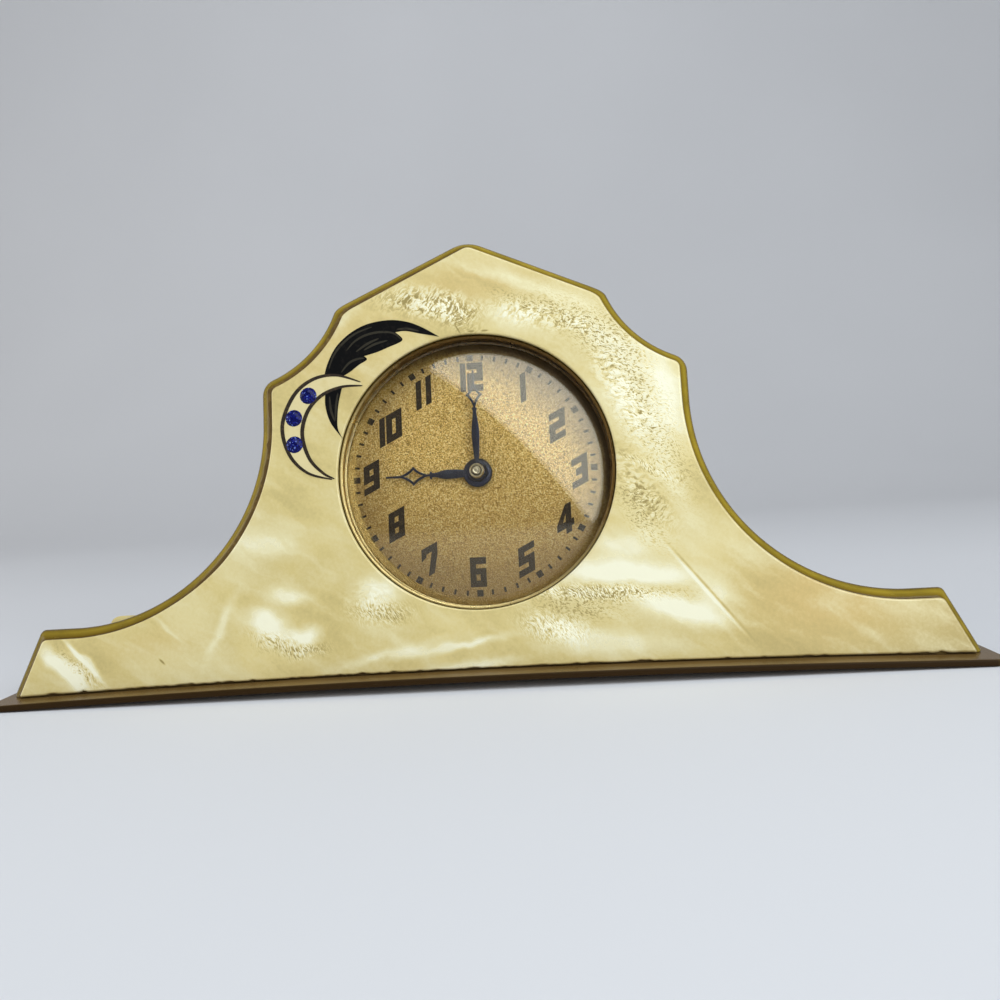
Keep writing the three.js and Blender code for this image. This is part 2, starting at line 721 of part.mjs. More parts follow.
function ratchetWheel() {
  const step = (2 * Math.PI) / ratchetTeeth;
  const points = Array.from({ length: ratchetTeeth }, (_, i) => i * step).flatMap((a) => [
    new THREE.Vector2(ratchetRadius, 0).rotateAround(centreAt, a),
    new THREE.Vector2(ratchetRadius - ratchetDepth, 0).rotateAround(centreAt, a + ratchetRake * step),
  ]);
  const bore = rod(windArborRadius + runClear, frontPlateFront, backPlateBack, smallRound);
  return cut(slab(new THREE.Shape(points), ratchetFront, ratchetBack), bore);
}

function click() {
  const arm = slab(barShape(clickPivotAt, clickTipAt, 2 * studRadius), ratchetFront, ratchetBack);
  const boss = moved(rod(2 * studRadius + runClear, ratchetFront, ratchetBack, smallRound), clickPivotAt);
  const hole = rod(studRadius + runClear, ratchetFront - seam, ratchetBack + seam, smallRound);
  return cut(join(arm, boss), moved(hole, clickPivotAt));
}

// A curved blade spring from its stud round to the back of the click
function clickSpring() {
  const start = radians(clickBearing + clickSpringFrom);
  const end = radians(clickBearing + clickSpringTo);
  const outer = arcPoints(centreAt, clickPivot + springThick / 2, end, start, sweepSteps);
  const inner = arcPoints(centreAt, clickPivot - springThick / 2, start, end, sweepSteps);
  const blade = slab(new THREE.Shape([...outer, ...inner]), ratchetFront, ratchetBack);
  const eye = moved(rod(2 * studRadius, ratchetFront, ratchetBack, smallRound), clickSpringFoot);
  const hole = rod(studRadius + runClear, ratchetFront - seam, ratchetBack + seam, smallRound);
  return cut(join(blade, eye), moved(hole, clickSpringFoot));
}

// A flat spiral ribbon, wound outward anticlockwise as seen from the front
function spiral(inner, outer, turns, endAngle, thick) {
  const steps = turns * springSteps;
  const at = (i, side) => {
    const radius = inner + ((outer - inner) * i) / steps + (side * thick) / 2;
    const angle = endAngle - ((steps - i) * 2 * Math.PI) / springSteps;
    return new THREE.Vector2(radius * Math.cos(angle), radius * Math.sin(angle));
  };
  const indices = Array.from({ length: steps + 1 }, (_, i) => i);
  const outside = indices.map((i) => at(i, 1));
  const inside = indices.map((i) => at(i, -1));
  return new THREE.Shape([...outside, ...inside.reverse()]);
}

// The open mainspring winds from beside its arbor and hooks round the nearest pillar
function mainspring() {
  const post = pillarPlaces[2].clone().sub(greatAt);
  const endAngle = Math.atan2(post.y, post.x);
  const inner = windArborRadius + seam + springThick / 2;
  const coil = slab(spiral(inner, springRadius, springTurns, endAngle, springThick), springFront, springBack);
  const reach = post.length() - pillarRadius - seam;
  const tailStart = new THREE.Vector2(springRadius, 0).rotateAround(centreAt, endAngle);
  const tailEnd = new THREE.Vector2(reach - springThick / 2, 0).rotateAround(centreAt, endAngle);
  return join(coil, slab(barShape(tailStart, tailEnd, springThick), springFront, springBack));
}

const windingArbor = () => rod(windArborRadius, frontPlateFront, canBack + keyHubLong, midRound);

function escapeWheel() {
  const step = (2 * Math.PI) / escapeTeeth;
  const root = escapeRadius - escapeToothDepth;
  const points = Array.from({ length: escapeTeeth }, (_, i) => i * step).flatMap((a) => [
    new THREE.Vector2(root, 0).rotateAround(centreAt, a - escapeToothShares.back * step),
    new THREE.Vector2(escapeRadius, 0).rotateAround(centreAt, a),
    new THREE.Vector2(escapeRadius, 0).rotateAround(centreAt, a + escapeToothShares.land * step),
    new THREE.Vector2(root, 0).rotateAround(centreAt, a + escapeToothShares.front * step),
  ]);
  const phase = meshPhase(fourthAt, fourthTeeth, 0, escapeAt, escapeLeaves);
  const pinion = drivenPinion(fourthModule, escapeLeaves, phase, fourthFront);
  const blank = crossOut(new THREE.Shape(points), trainArborRadius + wheelHubWide, root - wheelRimWide);
  return join(slab(blank, escapeFront, escapeBack), pinion, trainArbor());
}

// The pallet lever: two arms whose pins reach towards the escape wheel, and a tail that forks at the balance
function palletLever() {
  const toEscape = escapeAt.clone().sub(palletAt);
  const toBalance = balanceAt.clone().sub(palletAt);
  const pins = [palletSpan, -palletSpan].map((side) =>
    polar(escapeRadius, palletBearing + side).add(toEscape));
  const arms = pins.map((pin) => slab(barShape(centreAt, pin, leverWide), leverFront, leverBack));
  const pegs = pins.map((pin) => moved(rod(palletPinRadius, escapeBack + seam, leverBack, smallRound), pin));
  const forkAt = toBalance.clone().setLength(balanceDistance - rollerPinAt - leverWide);
  const tail = slab(barShape(centreAt, forkAt, leverWide), leverFront, leverBack);
  const across = new THREE.Vector2(-toBalance.y, toBalance.x).setLength(leverWide / 2 + rollerRadius / 4);
  const horns = [1, -1].map((side) => {
    const root = forkAt.clone().addScaledVector(across, side);
    const tip = root.clone().add(toBalance.clone().setLength(rollerPinAt));
    return slab(barShape(root, tip, leverWide / 2), leverFront, leverBack);
  });
  const bridge = slab(
    barShape(forkAt.clone().add(across), forkAt.clone().sub(across), leverWide / 2),
    leverFront,
    leverBack,
  );
  return join(tail, ...arms, ...pegs, ...horns, bridge, trainArbor());
}

// The balance: a rim on two arms, its staff, the roller with its pin, and the hairspring's collar
function balanceWheel() {
  const rim = tube(balanceRadius - balanceRim, balanceRadius, balanceFront, balanceBack, midRound);
  const armEnd = balanceRadius - balanceRim / 2;
  const arm = barShape(new THREE.Vector2(0, -armEnd), new THREE.Vector2(0, armEnd), balanceRim);
  const roller = rod(rollerRadius, rollerFront, rollerBack, midRound);
  const pin = rod(palletPinRadius, leverBack + seam, rollerBack, smallRound).translate(rollerPinAt, 0, 0);
  const collar = rod(collarRadius, balanceBack - seam, hairspringBack + seam, midRound);
  return join(rim, slab(arm, balanceFront, balanceBack), roller, pin, collar, trainArbor());
}

function hairspring() {
  const inner = collarRadius + seam + hairspringThick / 2;
  const outer = hairspringRadius - hairspringStudRadius - seam - hairspringThick / 2;
  const end = radians(regulatorBearing);
  return slab(spiral(inner, outer, hairspringTurns, end, hairspringThick), hairspringFront, hairspringBack);
}

// The hairspring's stud hangs from the back plate to the spring's outer end
const hairspringStudAt = polar(hairspringRadius, regulatorBearing).add(balanceAt);
const hairspringStud = () => rod(hairspringStudRadius, hairspringFront, backPlateFront - seam, smallRound);

// The regulator turns on the balance's rear bearing, and its pin shows through the can's back
function regulatorLever() {
  const front = backPlateBack + seam;
  const back = front + regulatorThick;
  const hub = rod(bearingBoss + regulatorHubWall, front, back, midRound);
  const tip = polar(regulatorReach, regulatorBearing);
  const arm = slab(barShape(centreAt, tip, 2 * regulatorPin), front, back);
  const pin = moved(rod(regulatorPin, front, canBack + regulatorProud, smallRound), tip);
  return cut(join(hub, arm, pin), rod(bearingBoss + runClear, front - seam, back + seam, midRound));
}

// Motion work
function cannonPinion() {
  const gear = pinionGear(motionModule, cannonTeeth, 0, minuteWheelFront, frontPlateFront - seam);
  const pipe = rod(cannonPipeRadius, minuteBossBack + seam, minuteWheelBack, midRound);
  const seat = rod(cannonPipeRadius - runClear, minuteBossFront, minuteWheelBack, midRound);
  const bore = rod(centreArborRadius + runClear, 0, frontPlateBack, smallRound);
  return cut(join(gear, pipe, seat), bore);
}

function minuteWheel() {
  const phase = meshPhase(centreAt, cannonTeeth, 0, minuteAt, minuteTeeth);
  const teeth = gearShape(motionModule, minuteTeeth, phase, wheelToothShare);
  const wheel = slab(teeth, minuteWheelFront, minuteWheelBack);
  const pinion = pinionGear(hourModule, minutePinionTeeth, 0, hourWheelFront, minuteWheelFront + seam);
  const bore = rod(studRadius + runClear, dialBack, frontPlateBack, smallRound);
  return cut(join(wheel, pinion), bore);
}

function hourWheel() {
  const phase = meshPhase(minuteAt, minutePinionTeeth, 0, centreAt, hourTeeth);
  const wheel = slab(gearShape(hourModule, hourTeeth, phase, wheelToothShare), hourWheelFront, hourWheelBack);
  const pipe = rod(hourPipeRadius, hourBossFront, hourWheelBack, midRound);
  const bore = rod(cannonPipeRadius + runClear, hourBossFront - seam, frontPlateFront, midRound);
  return cut(join(wheel, pipe), bore);
}

const centreArbor = () => rod(centreArborRadius, nutFront - arborTip, canBack + knobLong, smallRound);
const handNut = () => {
  const inner = centreArborRadius + runClear;
  const waist = (nutRadius + inner) / 2;
  const profile = [
    [inner, nutFront],
    [waist, nutFront],
    [nutRadius, nutFront + nutThick / 2],
    [nutRadius, nutBack],
    [inner, nutBack],
  ];
  return turned(profile, midRound);
};

// Plates: holes for every arbor and pillar; the front plate carries the minute wheel's stud
function plateHoles(tenon, front, back) {
  const hole = (radius, place) => moved(rod(radius + runClear, front - seam, back + seam, smallRound), place);
  return [
    hole(centreArborRadius, centreAt),
    hole(windArborRadius, greatAt),
    ...[thirdAt, fourthAt, escapeAt, palletAt, balanceAt].map((place) => hole(trainArborRadius, place)),
    ...pillarPlaces.map((place) => hole(tenon, place)),
  ];
}

function frontPlate() {
  const stud = moved(rod(studRadius, hourWheelFront, frontPlateBack, smallRound), minuteAt);
  const disc = rod(frontPlateRadius, frontPlateFront, frontPlateBack, plateRound);
  return cut(join(disc, stud), ...plateHoles(pillarTenon, frontPlateFront, frontPlateBack));
}

function backPlate() {
  const disc = rod(backPlateRadius, backPlateFront, backPlateBack, plateRound);
  const bossBack = backPlateBack + regulatorThick + 2 * seam;
  const boss = moved(rod(bearingBoss, backPlateFront, bossBack, smallRound), balanceAt);
  return cut(join(disc, boss), ...plateHoles(pillarRearTenon, backPlateFront, bossBack));
}

// A pillar: its front tenon takes a nut, its rear tenon a nut and, in its bored end, a case screw
function pillar() {
  const front = frontPlateFront - nutHeight - seam;
  const back = canBackInside - seam;
  const body = turned([
    [0, front],
    [pillarTenon, front],
    [pillarTenon, frontPlateBack + seam],
    [pillarRadius, frontPlateBack + seam],
    [pillarRadius, backPlateFront - seam],
    [pillarRearTenon, backPlateFront - seam],
    [pillarRearTenon, back],
    [0, back],
  ], smallRound);
  return cut(body, rod(screwShank + runClear, backPlateBack, back + seam, smallRound));
}

function ringNut(hole, front) {
  const corners = Array.from({ length: 6 }, (_, i) => polar(nutCorner, i * 60));
  const back = front + nutHeight;
  const bore = rod(hole + runClear, front - seam, back + seam, smallRound);
  return cut(slab(new THREE.Shape(corners), front, back), bore);
}

// A slotted screw driven from behind: its head lies behind a seat, its shank runs forward
function screw(seatBack, shankLength) {
  const front = seatBack + seam;
  const back = front + screwHeadThick;
  const body = turned([
    [0, front - shankLength],
    [screwShank, front - shankLength],
    [screwShank, front],
    [screwHead, front],
    [screwHead, back - screwHeadThick / 3],
    [screwHead * crownShare, back],
    [0, back],
  ], smallRound);
  const slot = new THREE.BoxGeometry(3 * screwHead, screwHeadThick, screwSlot).translate(0, back, 0);
  return cut(body, slot);
}

// The can: a flange on the panel, a mouth for dial and front plate, a ledge, and a back with its holes
function movementCan() {
  const flangeBack = flangeFront + canFlangeThick;
  const mouthOutside = canMouth + canSide;
  const ledgeBack = ledgeFront + canSide;
  const outside = canInside + canSide;
  const shell = turned([
    [canMouth, flangeFront],
    [canFlangeRadius, flangeFront],
    [canFlangeRadius, flangeBack],
    [mouthOutside, flangeBack],
    [mouthOutside, ledgeBack],
    [outside, ledgeBack],
    [outside, canBack],
    [0, canBack],
    [0, canBackInside],
    [canInside, canBackInside],
    [canInside, ledgeFront],
    [canMouth, ledgeFront],
  ], canRound);
  const through = (radius, place) =>
    moved(rod(radius, canBackInside - seam, canBack + seam, smallRound), place);
  const swing = radians(regulatorSwing + regulatorSlotMargin);
  const bearing = radians(regulatorBearing);
  const half = regulatorPin + seam;
  const slot = new THREE.Shape([
    ...arcPoints(balanceAt, regulatorReach + half, bearing - swing, bearing + swing, coveSteps),
    ...arcPoints(balanceAt, regulatorReach - half, bearing + swing, bearing - swing, coveSteps),
  ]);
  const screwHoles = canScrewPlaces.map((place) =>
    moved(rod(screwShank + runClear, flangeFront - seam, flangeBack + seam, smallRound), place));
  return cut(
    shell,
    through(centreArborRadius + seam, centreAt),
    through(windArborRadius + seam, greatAt),
    ...pillarPlaces.map((place) => through(screwShank + runClear, place)),
    ...screwHoles,
    slab(slot, canBackInside - seam, canBack + seam),
  );
}

function setKnob() {
  const front = canBack + 2 * seam;
  const back = front + knobLong;
  const step = (2 * Math.PI) / knobRidges;
  const points = Array.from({ length: knobRidges }, (_, i) => i * step).flatMap((a) => [
    new THREE.Vector2(knobRadius, 0).rotateAround(centreAt, a),
    new THREE.Vector2(knobRadius - knobRidgeDepth, 0).rotateAround(centreAt, a + step / 2),
  ]);
  const neck = rod(knobRadius / 2, front, front + knobNeck + seam, midRound);
  const grip = slab(new THREE.Shape(points), front + knobNeck, back);
  const bore = rod(centreArborRadius + runClear, front - seam, canBack + knobLong + seam, smallRound);
  return cut(join(neck, grip), bore);
}

// The winding key: a hub on the arbor's end and a bow of two round wings
function windingKey() {
  const front = canBack + 2 * seam;
  const hubBack = front + keyHubLong + seam;
  const hub = rod(keyHubRadius, front, hubBack, midRound);
  const wingAt = hubBack + keyWing / 2;
  const wing = (side) =>
    new THREE.CylinderGeometry(keyWing, keyWing, keyThick, midRound)
      .rotateX(Math.PI / 2)
      .translate(side * keyWingAt, wingAt, 0);
  const web = new THREE.BoxGeometry(2 * keyWingAt, keyWing, keyThick).translate(0, wingAt - keyWing / 4, 0);
  const bore = rod(windArborRadius + runClear, front - seam, canBack + keyHubLong + seam, smallRound);
  return cut(join(hub, web, wing(1), wing(-1)), bore);
}

// Assembly: the leaning group stands on the base plate, the dial's group sits in its opening
const clock = new THREE.Group();
const leaning = new THREE.Group();
leaning.position.set(0, frontMargin - baseDepth / 2, baseThick);
leaning.rotation.x = -radians(leanDegrees);
clock.add(leaning);
const movement = new THREE.Group();
movement.position.z = dialHeight;
leaning.add(movement);

function place(name, geometry, material, parent, at = centreAt) {
  const mesh = new THREE.Mesh(geometry, material);
  mesh.name = name;
  mesh.position.set(at.x, 0, at.y);
  parent.add(mesh);
  return mesh;
}

place("base_plate", basePlate(), amber, clock);
place("front_panel", frontPanel(), amber, leaning);
place("pearl_facing", pearlFacing(), pearl, leaning);
place("brace_left", brace(-1, braceLeftInset), pearl, leaning);
place("brace_right", brace(1, braceRightInset), pearl, leaning);
stonePlaces.forEach(([x, z], i) =>
  place(`stone_${i + 1}`, stone(), sapphire, movement, new THREE.Vector2(x, z)));

place("bezel_ring", bezelRing(), brass, movement);
place("crystal", crystal(), glass, movement);
place("sight_ring", sightRing(), brass, movement);
place("dial", dialPlate(), gilt, movement);
place("dial_spacer", dialSpacer(), brass, movement);
const hourBlank = hand(hourHand, hourBossRadius, hourPipeRadius + runClear, hourBossFront);
place("hour_hand", hourBlank, bluedSteel, movement).rotation.y = -Math.PI / 2; // points at nine
const minuteBlank = hand(minuteHand, minuteBossRadius, cannonPipeRadius, minuteBossFront);
place("minute_hand", minuteBlank, bluedSteel, movement);
place("hand_nut", handNut(), nickel, movement);

place("movement_can", movementCan(), nickel, movement);
const canScrewLong = canFlangeThick + 2 * seam + screwBite;
canScrewPlaces.forEach((at, i) =>
  place(`can_screw_${i + 1}`, screw(flangeFront + canFlangeThick, canScrewLong), steel, movement, at));
place("front_plate", frontPlate(), brass, movement);
place("back_plate", backPlate(), brass, movement);
pillarPlaces.forEach((at, i) => {
  place(`pillar_${i + 1}`, pillar(), steel, movement, at);
  place(`pillar_nut_${i + 1}`, ringNut(pillarTenon, frontPlateFront - nutHeight - seam), steel, movement, at);
  place(`plate_nut_${i + 1}`, ringNut(pillarRearTenon, backPlateBack + seam), steel, movement, at);
  place(`case_screw_${i + 1}`, screw(canBack, canWall + canBackRoom / 2), steel, movement, at);
});

place("centre_arbor", centreArbor(), steel, movement);
place("cannon_pinion", cannonPinion(), steel, movement);
place("minute_wheel", minuteWheel(), brass, movement, minuteAt);
place("hour_wheel", hourWheel(), brass, movement);
place("winding_arbor", windingArbor(), steel, movement, greatAt);
place("great_wheel", greatWheel(), brass, movement, greatAt);
place("ratchet_wheel", ratchetWheel(), steel, movement, greatAt);
place("click", click(), steel, movement, greatAt);
place("click_spring", clickSpring(), steel, movement, greatAt);
place("mainspring", mainspring(), bluedSteel, movement, greatAt);
place("centre_wheel", centreWheel(), brass, movement);
place("third_wheel", thirdWheel(), brass, movement, thirdAt);
place("fourth_wheel", fourthWheel(), brass, movement, fourthAt);
place("escape_wheel", escapeWheel(), brass, movement, escapeAt);
place("pallet_lever", palletLever(), steel, movement, palletAt);
place("balance_wheel", balanceWheel(), nickel, movement, balanceAt);
place("hairspring", hairspring(), bluedSteel, movement, balanceAt);
place("hairspring_stud", hairspringStud(), steel, movement, hairspringStudAt);
place("regulator_lever", regulatorLever(), steel, movement, balanceAt);
place("set_knob", setKnob(), brass, movement);
place("winding_key", windingKey(), brass, movement, greatAt);

export default clock;
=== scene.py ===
import json
from math import asin, atan2, cos, pi, radians, sin, sqrt

import bmesh
import bpy
from mathutils import Matrix, Vector, noise


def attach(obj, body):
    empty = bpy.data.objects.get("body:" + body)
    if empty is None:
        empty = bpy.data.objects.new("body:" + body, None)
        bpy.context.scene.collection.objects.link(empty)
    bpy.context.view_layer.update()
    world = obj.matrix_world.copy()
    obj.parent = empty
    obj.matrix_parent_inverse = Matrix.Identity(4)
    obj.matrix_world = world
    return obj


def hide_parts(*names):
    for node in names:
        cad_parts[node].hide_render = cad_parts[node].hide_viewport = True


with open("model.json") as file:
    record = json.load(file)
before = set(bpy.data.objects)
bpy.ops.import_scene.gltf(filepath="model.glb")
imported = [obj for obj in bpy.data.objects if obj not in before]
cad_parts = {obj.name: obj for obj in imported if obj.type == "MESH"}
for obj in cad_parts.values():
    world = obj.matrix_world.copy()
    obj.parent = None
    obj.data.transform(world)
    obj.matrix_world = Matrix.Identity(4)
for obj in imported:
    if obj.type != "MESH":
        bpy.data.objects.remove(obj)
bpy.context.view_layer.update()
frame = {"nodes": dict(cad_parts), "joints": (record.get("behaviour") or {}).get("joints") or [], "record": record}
cadNodes = frame["nodes"]
print("frame loaded:", len(cadNodes), "nodes")

# the dial's axis gives the leaning frame: x right, y up the panel, z out of the pearl face
axisJoint = next(joint for joint in frame["joints"] if joint["name"] == "minute_turn")
depthAxis = Vector(axisJoint["axis"])
dialCentre = Vector(axisJoint["pos_m"])
rightAxis = Vector((1, 0, 0))
upAxis = rightAxis.cross(depthAxis)
mm = 0.001
lean = atan2(-depthAxis.z, depthAxis.y)
panelAxes = Matrix((rightAxis, upAxis, -depthAxis)).transposed()
panelMatrix = Matrix.Translation(dialCentre) @ panelAxes.to_4x4() @ Matrix.Scale(mm, 4)
deskMatrix = Matrix.Scale(mm, 4)

stack = {  # depths behind the pearl face, millimetres
    "pearlBack": 0.8,
    "panelFront": 1.1,
    "panelBack": 4.1,
    "flangeFront": 4.4,
    "flangeBack": 5.2,
    "dialFront": 5.3,
    "dialBack": 5.7,
    "canInside": 25.4,
    "canBack": 26.2,
}
opening = 25.5  # radius of the dial opening
dialHeight = 37  # up the panel from its foot
baseThick = 1.8
fine = 192  # steps round a large circle
sameSpot = 1e-5  # points closer than this count as one


# drawing helpers, all in millimetres


def circle(radius, steps, centre=(0, 0), start=0):
    angles = [start + 2 * pi * i / steps for i in range(steps)]
    return [(centre[0] + radius * cos(a), centre[1] + radius * sin(a)) for a in angles]


def arc(centre, radius, start, end, steps):
    angles = [start + (end - start) * i / steps for i in range(steps + 1)]
    return [(centre[0] + radius * cos(a), centre[1] + radius * sin(a)) for a in angles]


def bow(start, control, end, steps):  # a quadratic curve
    start, control, end = Vector(start), Vector(control), Vector(end)
    shares = [i / steps for i in range(steps + 1)]
    return [tuple(start * (1 - t) ** 2 + control * 2 * t * (1 - t) + end * t ** 2) for t in shares]


def softCorner(before, corner, after, reach, steps):
    before, corner, after = Vector(before), Vector(corner), Vector(after)
    start = corner + (before - corner).normalized() * min(reach, (before - corner).length / 2)
    end = corner + (after - corner).normalized() * min(reach, (after - corner).length / 2)
    return bow(start, corner, end, steps)


def distinct(points):  # neighbours that fall on one spot kept once
    spots = [Vector(point) for point in points]
    return [points[i] for i in range(len(points)) if (spots[i] - spots[i - 1]).length > sameSpot]


def softened(points, reach, steps=4, closed=False):  # every inner corner of a profile eased
    count = len(points)
    result = []
    for i, point in enumerate(points):
        if not closed and i in (0, count - 1):
            result.append(point)
        else:
            result += softCorner(points[i - 1], point, points[(i + 1) % count], reach, steps)
    return distinct(result)


def smoothLine(points, steps=8):  # a flowing curve through given points
    padded = [points[0], *points, points[-1]]
    result = []
    for a, b, c, d in zip(padded, padded[1:], padded[2:], padded[3:]):
        a, b, c, d = map(Vector, (a, b, c, d))
        for i in range(steps):
            t = i / steps
            straight, bend, twist = c - a, 2 * a - 5 * b + 4 * c - d, 3 * b - a - 3 * c + d
            result.append(tuple(b + 0.5 * (straight * t + bend * t ** 2 + twist * t ** 3)))
    return result + [tuple(points[-1])]


def strokeShape(points, width):  # a line whose width follows width(share of its length)
    points = [Vector(p) for p in points]
    left, right = [], []
    for i, point in enumerate(points):
        run = points[min(i + 1, len(points) - 1)] - points[max(i - 1, 0)]
        side = Vector((-run.y, run.x)).normalized() * width(i / (len(points) - 1)) / 2
        left.append(tuple(point + side))
        right.append(tuple(point - side))
    return left + right[::-1]


def taper(low, high, fullness=0.6):  # thick in the middle of a stroke, fine at its ends
    return lambda share: low + (high - low) * sin(pi * min(max(share, 0), 1)) ** fullness


# mesh helpers


def plate(outer, holes=()):  # skins each stack of loops and fills its two ends, holes left open
    shell = bmesh.new()
    stacks = []
    for sections in (outer, *holes):
        rows = [[shell.verts.new((x, y, -depth)) for x, y in points] for points, depth in sections]
        for near, far in zip(rows, rows[1:]):
            for i in range(len(near)):
                shell.faces.new((near[i], near[i - 1], far[i - 1], far[i])).smooth = True
        stacks.append(rows)
    for end in (0, -1):
        edges = []
        for rows in stacks:
            ring = rows[end]
            edges += [shell.edges.get((ring[i - 1], ring[i])) for i in range(len(ring))]
        filled = bmesh.ops.triangle_fill(shell, edges=edges, use_beauty=True)
        for item in filled["geom"]:
            if isinstance(item, bmesh.types.BMFace):
                item.smooth = False
    bmesh.ops.remove_doubles(shell, verts=shell.verts, dist=sameSpot)
    bmesh.ops.recalc_face_normals(shell, faces=shell.faces)
    return shell


def slab(shape, front, back, holes=()):
    return plate([(shape, front), (shape, back)], [[(hole, front), (hole, back)] for hole in holes])


def lathe(profile, steps):  # radius and depth points turned about the axis, closed at the axis or in a ring
    shell = bmesh.new()
    rings = []
    for radius, depth in profile:
        if radius < sameSpot:
            rings.append([shell.verts.new((0, 0, -depth))] * steps)
        else:
            rings.append([shell.verts.new((x, y, -depth)) for x, y in circle(radius, steps)])
    pairs = list(zip(rings, rings[1:]))
    if profile[0][0] > sameSpot:
        pairs.append((rings[-1], rings[0]))
    for near, far in pairs:
        for i in range(steps):
            corners = list(dict.fromkeys((near[i], near[i - 1], far[i - 1], far[i])))
            if len(corners) > 2:
                shell.faces.new(corners).smooth = True
    bmesh.ops.recalc_face_normals(shell, faces=shell.faces)
    return shell


def merged(*shells):
    whole = bmesh.new()
    for shell in shells:
        mesh = bpy.data.meshes.new("part")
        shell.to_mesh(mesh)
        shell.free()
        whole.from_mesh(mesh)
        bpy.data.meshes.remove(mesh)
    return whole


def moved(shell, x=0, y=0, depth=0):
    bmesh.ops.translate(shell, verts=shell.verts, vec=(x, y, -depth))
    return shell


def shaded(mesh, crease):  # smooth, with edges sharper than crease degrees kept
    mesh.shade_smooth()
    mesh.set_sharp_from_angle(angle=radians(crease))
    return mesh


def toMesh(shell, name, crease=None):
    mesh = bpy.data.meshes.new(name)
    shell.to_mesh(mesh)
    shell.free()
    return mesh if crease is None else shaded(mesh, crease)


def placed(name, data):  # a new object in the scene
    holder = bpy.data.objects.new(name, data)
    bpy.context.scene.collection.objects.link(holder)
    return holder


def evaluated(mesh, addModifiers):  # the mesh after its modifiers, as a plain mesh
    holder = placed("holder", mesh)
    addModifiers(holder)
    graph = bpy.context.evaluated_depsgraph_get()
    result = bpy.data.meshes.new_from_object(holder.evaluated_get(graph))
    holder.modifiers.clear()
    bpy.data.objects.remove(holder)
    return result


def bevelled(mesh, width, segments, sharp=30, crease=40):  # edges over sharp degrees rounded
    def addBevel(holder):
        bevel = holder.modifiers.new("edges", "BEVEL")
        bevel.width = width
        bevel.segments = segments
        bevel.limit_method = "ANGLE"
        bevel.angle_limit = radians(sharp)

    return shaded(evaluated(mesh, addBevel), crease)


def toShell(mesh):
    shell = bmesh.new()
    shell.from_mesh(mesh)
    return shell


def addPiece(name, mesh, material, body, replaced=(), matrix=panelMatrix, arched=False):
    mesh.transform(matrix)
    if arched:
        archFoot(mesh)
    mesh.materials.clear()
    mesh.materials.append(material)
    mesh.name = name
    piece = placed(name, mesh)
    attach(piece, body)
    if replaced:
        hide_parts(*replaced)


# node helpers


def node(tree, kind, inputs=None, **settings):
    made = tree.nodes.new(kind)
    for key, value in settings.items():
        setattr(made, key, value)
    for socket, value in (inputs or {}).items():
        if isinstance(value, bpy.types.NodeSocket):
            tree.links.new(value, made.inputs[socket])
        else:
            made.inputs[socket].default_value = value
    return made


def vectorMath(tree, operation, a, b=None, output="Vector"):
    inputs = {0: a} if b is None else {0: a, 1: b}
    return node(tree, "ShaderNodeVectorMath", inputs, operation=operation).outputs[output]


def combine(tree, operation, a, b=0.0):
    return node(tree, "ShaderNodeMath", {0: a, 1: b}, operation=operation).outputs[0]


def nodeGroup(name, inputs):  # a geometry tree with named inputs
    tree = bpy.data.node_groups.new(name, "GeometryNodeTree")
    tree.interface.new_socket("Geometry", in_out="INPUT", socket_type="NodeSocketGeometry")
    for label, kind in inputs:
        tree.interface.new_socket(label, in_out="INPUT", socket_type=f"NodeSocket{kind}")
    tree.interface.new_socket("Geometry", in_out="OUTPUT", socket_type="NodeSocketGeometry")
    return tree, tree.nodes.new("NodeGroupInput").outputs


def endGroup(tree, geometry, materialSocket):
    real = node(tree, "GeometryNodeRealizeInstances", {"Geometry": geometry}).outputs[0]
    dressed = node(tree, "GeometryNodeSetMaterial", {"Geometry": real, "Material": materialSocket})
    node(tree, "NodeGroupOutput", {"Geometry": dressed.outputs[0]})


def grown(tree, mesh, values):  # the tree's result on a mesh, as a plain mesh
    def addTree(holder):
        modifier = holder.modifiers.new(tree.name, "NODES")
        modifier.node_group = tree
        for item in tree.interface.items_tree:
            if item.in_out == "INPUT" and item.name in values:
                modifier[item.identifier] = values[item.name]

    return evaluated(mesh, addTree)


def pointMesh(points):
    mesh = bpy.data.meshes.new("places")
    mesh.from_pydata([(x, y, -depth) for x, y, depth in points], [], [])
    return mesh


def copiesTree():  # a source piece set at every point, each turned a little further
    tree, given = nodeGroup("copiesAtPoints", [
        ("Source", "Object"), ("Turn", "Float"), ("Material", "Material")])
    source = node(tree, "GeometryNodeObjectInfo", {"Object": given["Source"]}).outputs["Geometry"]
    index = node(tree, "GeometryNodeInputIndex").outputs[0]
    turn = combine(tree, "MULTIPLY", index, given["Turn"])
    spin = node(tree, "ShaderNodeCombineXYZ", {"Z": turn}).outputs[0]
    copies = node(tree, "GeometryNodeInstanceOnPoints", {
        "Points": given["Geometry"], "Instance": source, "Rotation": spin}).outputs[0]
    endGroup(tree, copies, given["Material"])
    return tree


copyTree = copiesTree()


def copiesOf(mesh, points, turn, material):
    source = placed("source", mesh)
    result = grown(copyTree, pointMesh(points), {"Source": source, "Turn": turn, "Material": material})
    bpy.data.objects.remove(source)
    return result


def startMaterial(name, sockets):
    material = bpy.data.materials.new(name)
    material.use_nodes = True
    shader = material.node_tree.nodes["Principled BSDF"]
    for socket, value in sockets.items():
        shader.inputs[socket].default_value = value
    return material, material.node_tree, shader


def panelCoords(tree):  # Object coordinates as millimetres about the dial: x right, y depth, z up
    place = -(Matrix.Rotation(lean, 3, "X") @ dialCentre) / mm
    coords = node(tree, "ShaderNodeTexCoord").outputs["Object"]
    return node(tree, "ShaderNodeMapping", {
        "Vector": coords, "Location": place, "Rotation": (lean, 0, 0),
        "Scale": (1 / mm,) * 3}).outputs[0]


